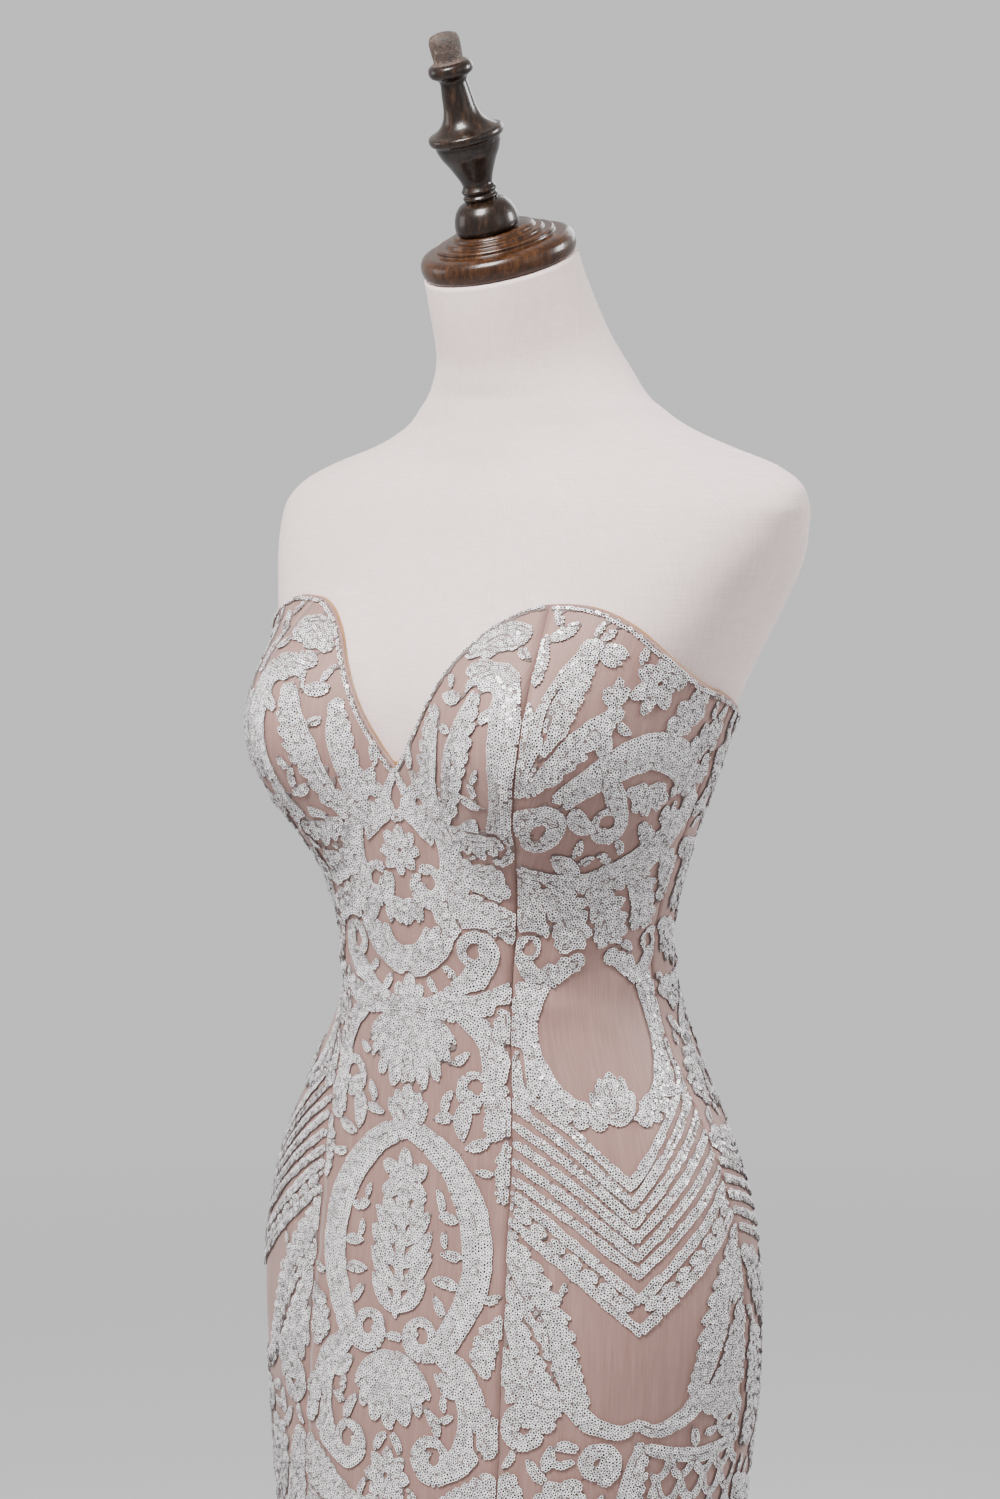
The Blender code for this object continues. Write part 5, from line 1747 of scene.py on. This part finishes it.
total = 0
left_of = {"side_front_right": "side_front_left", "back_right": "back_left"}
drawn = {}
for name, start, end, _ in PANELS:
    flip = -1.0 if name.endswith("_right") else 1.0
    if flip > 0:
        panel = Panel(name, start, end)
        drawn[name] = (panel, draw_panel(panel, 11))
    panel, field = drawn[left_of.get(name, name)]
    shell, area, _ = panel_shell(name + "_cloth", panel, flip)
    sewn = ground_mesh(name + "_thread", field, panel, KNEE, 1322, 3, 0.30, GROUND_LIFT, [thread_mat], flip)
    skirt = ground_mesh(name + "_skirt_thread", field, panel, field.y0, KNEE, 6, 0.30, GROUND_LIFT, [thread_mat], flip)
    dice = np.random.default_rng(40 + len(name) + int(flip))
    upper = stones(field, KNEE, 1322, 2.16, 2.12, 1.05, dice)
    lower = stones(field, field.y0, KNEE, 4.1, 3.9, 1.7, dice)
    small = sequin_mesh(name + "_sequins", panel, *upper, 0.00123, STONE_LIFT, dice, [sequin_mat], flip)
    large = sequin_mesh(name + "_skirt_sequins", panel, *lower, 0.00232, STONE_LIFT, dice, [sequin_mat], flip)
    for piece in (shell, sewn, skirt, small, large):
        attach(piece, "root")
    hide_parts(name)
    total += sum(len(o.data.polygons) * 2 for o in (shell, small, large)) + len(sewn.data.polygons) + len(skirt.data.polygons)

print("triangles on the cloth", total)

# ----------------------------------------------------------- the bias facing
theta = np.radians(np.linspace(-179.8, 179.8, 420))[None, :]
edge = top_edge(theta)
low = 1.128 + 0.80 * (edge - 1.128)
shares = np.array([0, 0.25, 0.5, 0.75, 0.9, 1.0])[:, None]
z = np.concatenate([low + (edge - low) * shares, edge + 0.0006, edge + 0.0012])
theta = np.repeat(theta, len(z), axis=0)
wavy = 0.00012 * np.sin(np.degrees(theta) * 0.9) + 0.00008 * np.sin(np.degrees(theta) * 2.3)
outer = moved_out(theta, z, -CLOTH - SEAM_GAP + 0.0001 + wavy)
inner = moved_out(theta, z, -CLOTH - SEAM_GAP - FACING * 0.9 + wavy)
inner[-1] = (inner[-1] + outer[-1]) / 2
outer[-1] = inner[-1] + (outer[-1] - inner[-1]) * 0.3
points, faces = two_sided(outer, inner)
run = np.concatenate([np.zeros((len(z), 1)), np.cumsum(np.linalg.norm(np.diff(outer, axis=1), axis=-1), axis=1)], axis=1)
climb = np.repeat((z[:, :1] - z[0, 0]), theta.shape[1], axis=1)
uv = np.concatenate([np.stack([climb, run], -1).reshape(-1, 2)] * 2)
facing = mesh_object("neck_facing_bias", points, faces, {"cloth": uv[faces.ravel()]}, True, [tan_facing()])
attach(facing, "root")
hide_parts("neck_facing")

# ---------------------------------------------------------------- the form
angles = np.linspace(-np.pi, np.pi, 152, endpoint=False)
rings = []
for height in np.concatenate([[TORSO_FLOOR_Z], np.arange(0.812, 1.120, 0.012)]):
    rings.append(moved_out(angles, np.full_like(angles, height), np.full_like(angles, -FORM_INSET)))
rings[0][:, 2] = TORSO_FLOOR_Z
edge = top_edge(angles)
for share in np.linspace(0, 1, 17):
    rings.append(moved_out(angles, 1.128 + share * (edge - 1.128), np.full_like(angles, -FORM_INSET)))
for share in np.linspace(0.05, 1, 18):
    depth = FORM_INSET * (1 - share) ** 1.5
    rings.append(moved_out(angles, edge + share * (CHEST_CEILING - edge), np.full_like(angles, -depth)))
for height in np.concatenate([np.arange(1.350, 1.372, 0.004), np.arange(1.372, 1.4405, 0.0025)]):
    rings.append(surface(angles, np.full_like(angles, height)))
stack = []
for height, half, depth, centre, share in NECK:
    ring = np.stack([half * np.sin(angles), -depth * np.cos(angles), np.zeros(len(angles))], axis=-1)
    turn = np.array(Matrix.Rotation(LEAN * share, 3, "X"))
    stack.append(ring @ turn.T + np.array([0.0, centre, height]))
control = [rings[-8], rings[-1]] + stack
for i in range(1, len(control) - 1):
    a, b, c = control[i - 1], control[i], control[i + 1]
    d = control[i + 2] if i + 2 < len(control) else 2 * c - b
    for t in np.linspace(0, 1, 7)[1:]:
        rings.append(0.5 * (2 * b + (c - a) * t + (2 * a - 5 * b + 4 * c - d) * t**2 + (3 * b - a - 3 * c + d) * t**3))
grid = np.array(rings)
rows, columns = grid.shape[:2]
faces = grid_faces(rows, columns, True)
loop_points = grid.reshape(-1, 3)
caps = []
for row, order in ((0, -1), (rows - 1, 1)):
    ring = row * columns + np.arange(columns)
    middle = len(loop_points)
    loop_points = np.concatenate([loop_points, grid[row].mean(axis=0)[None, :]])
    for k in range(0, columns, 2):
        three = [ring[k], ring[(k + 1) % columns], ring[(k + 2) % columns]][::order]
        caps.append([*three, middle])
faces = np.concatenate([faces, np.array(caps)])
round_run = np.arctan2(loop_points[:, 0], -loop_points[:, 1]) * 0.14
uv = np.stack([round_run, loop_points[:, 2]], -1)[faces.ravel()].reshape(-1, 4, 2)
wrap = (uv[:, :, 0].max(axis=1) - uv[:, :, 0].min(axis=1)) > 0.4
uv[wrap, :, 0] = np.where(uv[wrap, :, 0] < 0, uv[wrap, :, 0] + 2 * np.pi * 0.14, uv[wrap, :, 0])
torso = mesh_object("form_torso_linen", loop_points, faces, {"cloth": uv}, True, [linen()])
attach(torso, "root")
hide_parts("form_torso")


# ------------------------------------------------------ turned wood and metal
def rounded(profile, steps=5):
    """A turned profile with its beads and coves drawn as smooth curves."""
    p = np.asarray(profile, float)
    q = np.concatenate([[2 * p[0] - p[1]], p, [2 * p[-1] - p[-2]]])
    out = []
    for i in range(len(p) - 1):
        a, b, c, d = q[i : i + 4]
        t = np.linspace(0, 1, steps, endpoint=False)[:, None]
        tension = 0.42
        m0, m1 = (c - a) * tension, (d - b) * tension
        out.append((2 * t**3 - 3 * t**2 + 1) * b + (t**3 - 2 * t**2 + t) * m0 + (-2 * t**3 + 3 * t**2) * c + (t**3 - t**2) * m1)
    return np.concatenate(out + [p[-1:]])


def lathe(name, profile, seat, lean, segments, mats, steps=5, second=None):
    p = rounded(profile, steps) if steps > 1 else np.asarray(profile, float)
    angles = np.linspace(0, 2 * np.pi, segments, endpoint=False)
    turn = np.array(Matrix.Rotation(lean, 3, "X"))
    rings = [
        np.stack([r * np.sin(angles), -r * np.cos(angles), np.full(segments, h)], -1) @ turn.T + np.asarray(seat)
        for r, h in p
    ]
    for end in (0, -1):  # the ends close on rings drawn in to the axis
        r, h = p[end]
        inner = [np.stack([r * k * np.sin(angles), -r * k * np.cos(angles), np.full(segments, h)], -1) @ turn.T + np.asarray(seat) for k in (0.6, 0.004)]
        rings = inner[::-1] + rings if end == 0 else rings + inner
    grid = np.array(rings)
    faces = grid_faces(len(rings), segments, True)
    obj = mesh_object(name, grid.reshape(-1, 3), faces, smooth=True, materials=mats)
    if second is not None:
        row = np.arange(len(faces)) // segments
        heights = np.array([0, 0, *p[:, 1], p[-1, 1], p[-1, 1]])
        index = (heights[row] > second).astype(np.int32)
        obj.data.polygons.foreach_set("material_index", index)
    obj.data.set_sharp_from_angle(angle=math.radians(50))
    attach(obj, "root")
    return obj


up_neck = np.array([0.0, -math.sin(LEAN), math.cos(LEAN)])
neck_top = np.array([0.0, NECK[-1][3], NECK[-1][0]])
cap_seat = neck_top + up_neck * SEAM_GAP
cap = lathe(
    "neck_cap_wood", CAP_PROFILE, cap_seat, LEAN, 128,
    [lacquered("cap_lacquer", (0.006, 0.0020, 0.0006), (0.030, 0.0105, 0.0030), (0.085, 0.034, 0.0105), LEAN, 0.22)],
)
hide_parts("neck_cap")
front_neck = np.array([0.0, -math.cos(LEAN), -math.sin(LEAN)])
finial_seat = cap_seat + up_neck * (CAP_PROFILE[-1][1] + SEAM_GAP) + front_neck * FINIAL_FORWARD
finial_seat = finial_seat + up_neck * FINIAL_PROFILE[2][0] * math.sin(FINIAL_LEAN - LEAN)
finial = lathe(
    "finial_wood", FINIAL_PROFILE, finial_seat, FINIAL_LEAN, 96,
    [lacquered("finial_lacquer", (0.003, 0.0014, 0.0008), (0.009, 0.0042, 0.0022), (0.040, 0.019, 0.0090), FINIAL_LEAN, 0.22), rough_knob()],
    steps=4, second=0.1085,
)
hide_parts("finial")
bronze = stand_paint()
socket_top = TORSO_FLOOR_Z - SEAM_GAP
socket = [(r, socket_top - h) for r, h in SOCKET_PROFILE][::-1]
pole = [(POLE_RADIUS, BASE_PROFILE[-1][1] + SEAM_GAP), (POLE_RADIUS, socket[0][1] - SEAM_GAP)]
for name, node, profile, steps in (
    ("pole_socket_metal", "pole_socket", socket, 1),
    ("pole_metal", "pole", pole, 1),
    ("base_metal", "base", BASE_PROFILE, 4),
):
    made = lathe(name, profile, (0, 0, 0), 0.0, 128, [bronze], steps)
    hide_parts(node)


# --------------------------------------------------- floor, light and the camera
floor = mesh_object(
    "studio_floor",
    [(-60, -60, 0), (60, -60, 0), (60, 60, 0), (-60, 60, 0)],
    [(0, 1, 2, 3)],
    smooth=False,
    materials=[pale_floor()],
)

world = bpy.data.worlds.new("studio")
bpy.context.scene.world = world
world.use_nodes = True
world.node_tree.nodes["Background"].inputs["Color"].default_value = (*SKY, 1.0)
world.node_tree.nodes["Background"].inputs["Strength"].default_value = SKY_STRENGTH


def softbox(name, azimuth, height, distance, size, watts, aim=1.15, tint=(1.0, 1.0, 1.0)):
    """A soft square light at an angle round from the front, aimed at the dress."""
    data = bpy.data.lights.new(name, "AREA")
    data.shape, data.size, data.energy, data.color = "SQUARE", size, watts, tint
    lamp = bpy.data.objects.new(name, data)
    a = math.radians(azimuth)
    lamp.location = (math.sin(a) * distance, -math.cos(a) * distance, height)
    away = lamp.location - Vector((0, 0, aim))
    lamp.rotation_mode = "QUATERNION"
    lamp.rotation_quaternion = away.to_track_quat("Z", "Y")
    bpy.context.scene.collection.objects.link(lamp)
    return lamp


softbox("key", 8, 2.65, 1.25, 0.7, 118, tint=(1.0, 0.985, 0.97))
softbox("fill", 84, 1.9, 2.8, 1.4, 7, tint=(0.97, 0.985, 1.0))
softbox("left", -62, 1.8, 2.6, 1.2, 14)
softbox("behind", 196, 2.6, 2.6, 1.4, 26)
softbox("edge", 136, 2.1, 1.9, 0.6, 46, aim=1.25)

data = bpy.data.cameras.new("camera")
data.lens, data.sensor_width, data.sensor_fit = 85.0, 36.0, "AUTO"
data.dof.use_dof = False
camera = bpy.data.objects.new("camera", data)
AZIMUTH = math.radians(38.0)
DISTANCE, EYE, AIM = 2.2834, 1.42, 1.2158
level = math.sqrt(DISTANCE**2 - (EYE - AIM) ** 2)
camera.location = (math.sin(AZIMUTH) * level, -math.cos(AZIMUTH) * level, EYE)
camera.rotation_mode = "QUATERNION"
camera.rotation_quaternion = (camera.location - Vector((0, 0, AIM))).to_track_quat("Z", "Y")
bpy.context.scene.collection.objects.link(camera)
bpy.context.scene.camera = camera
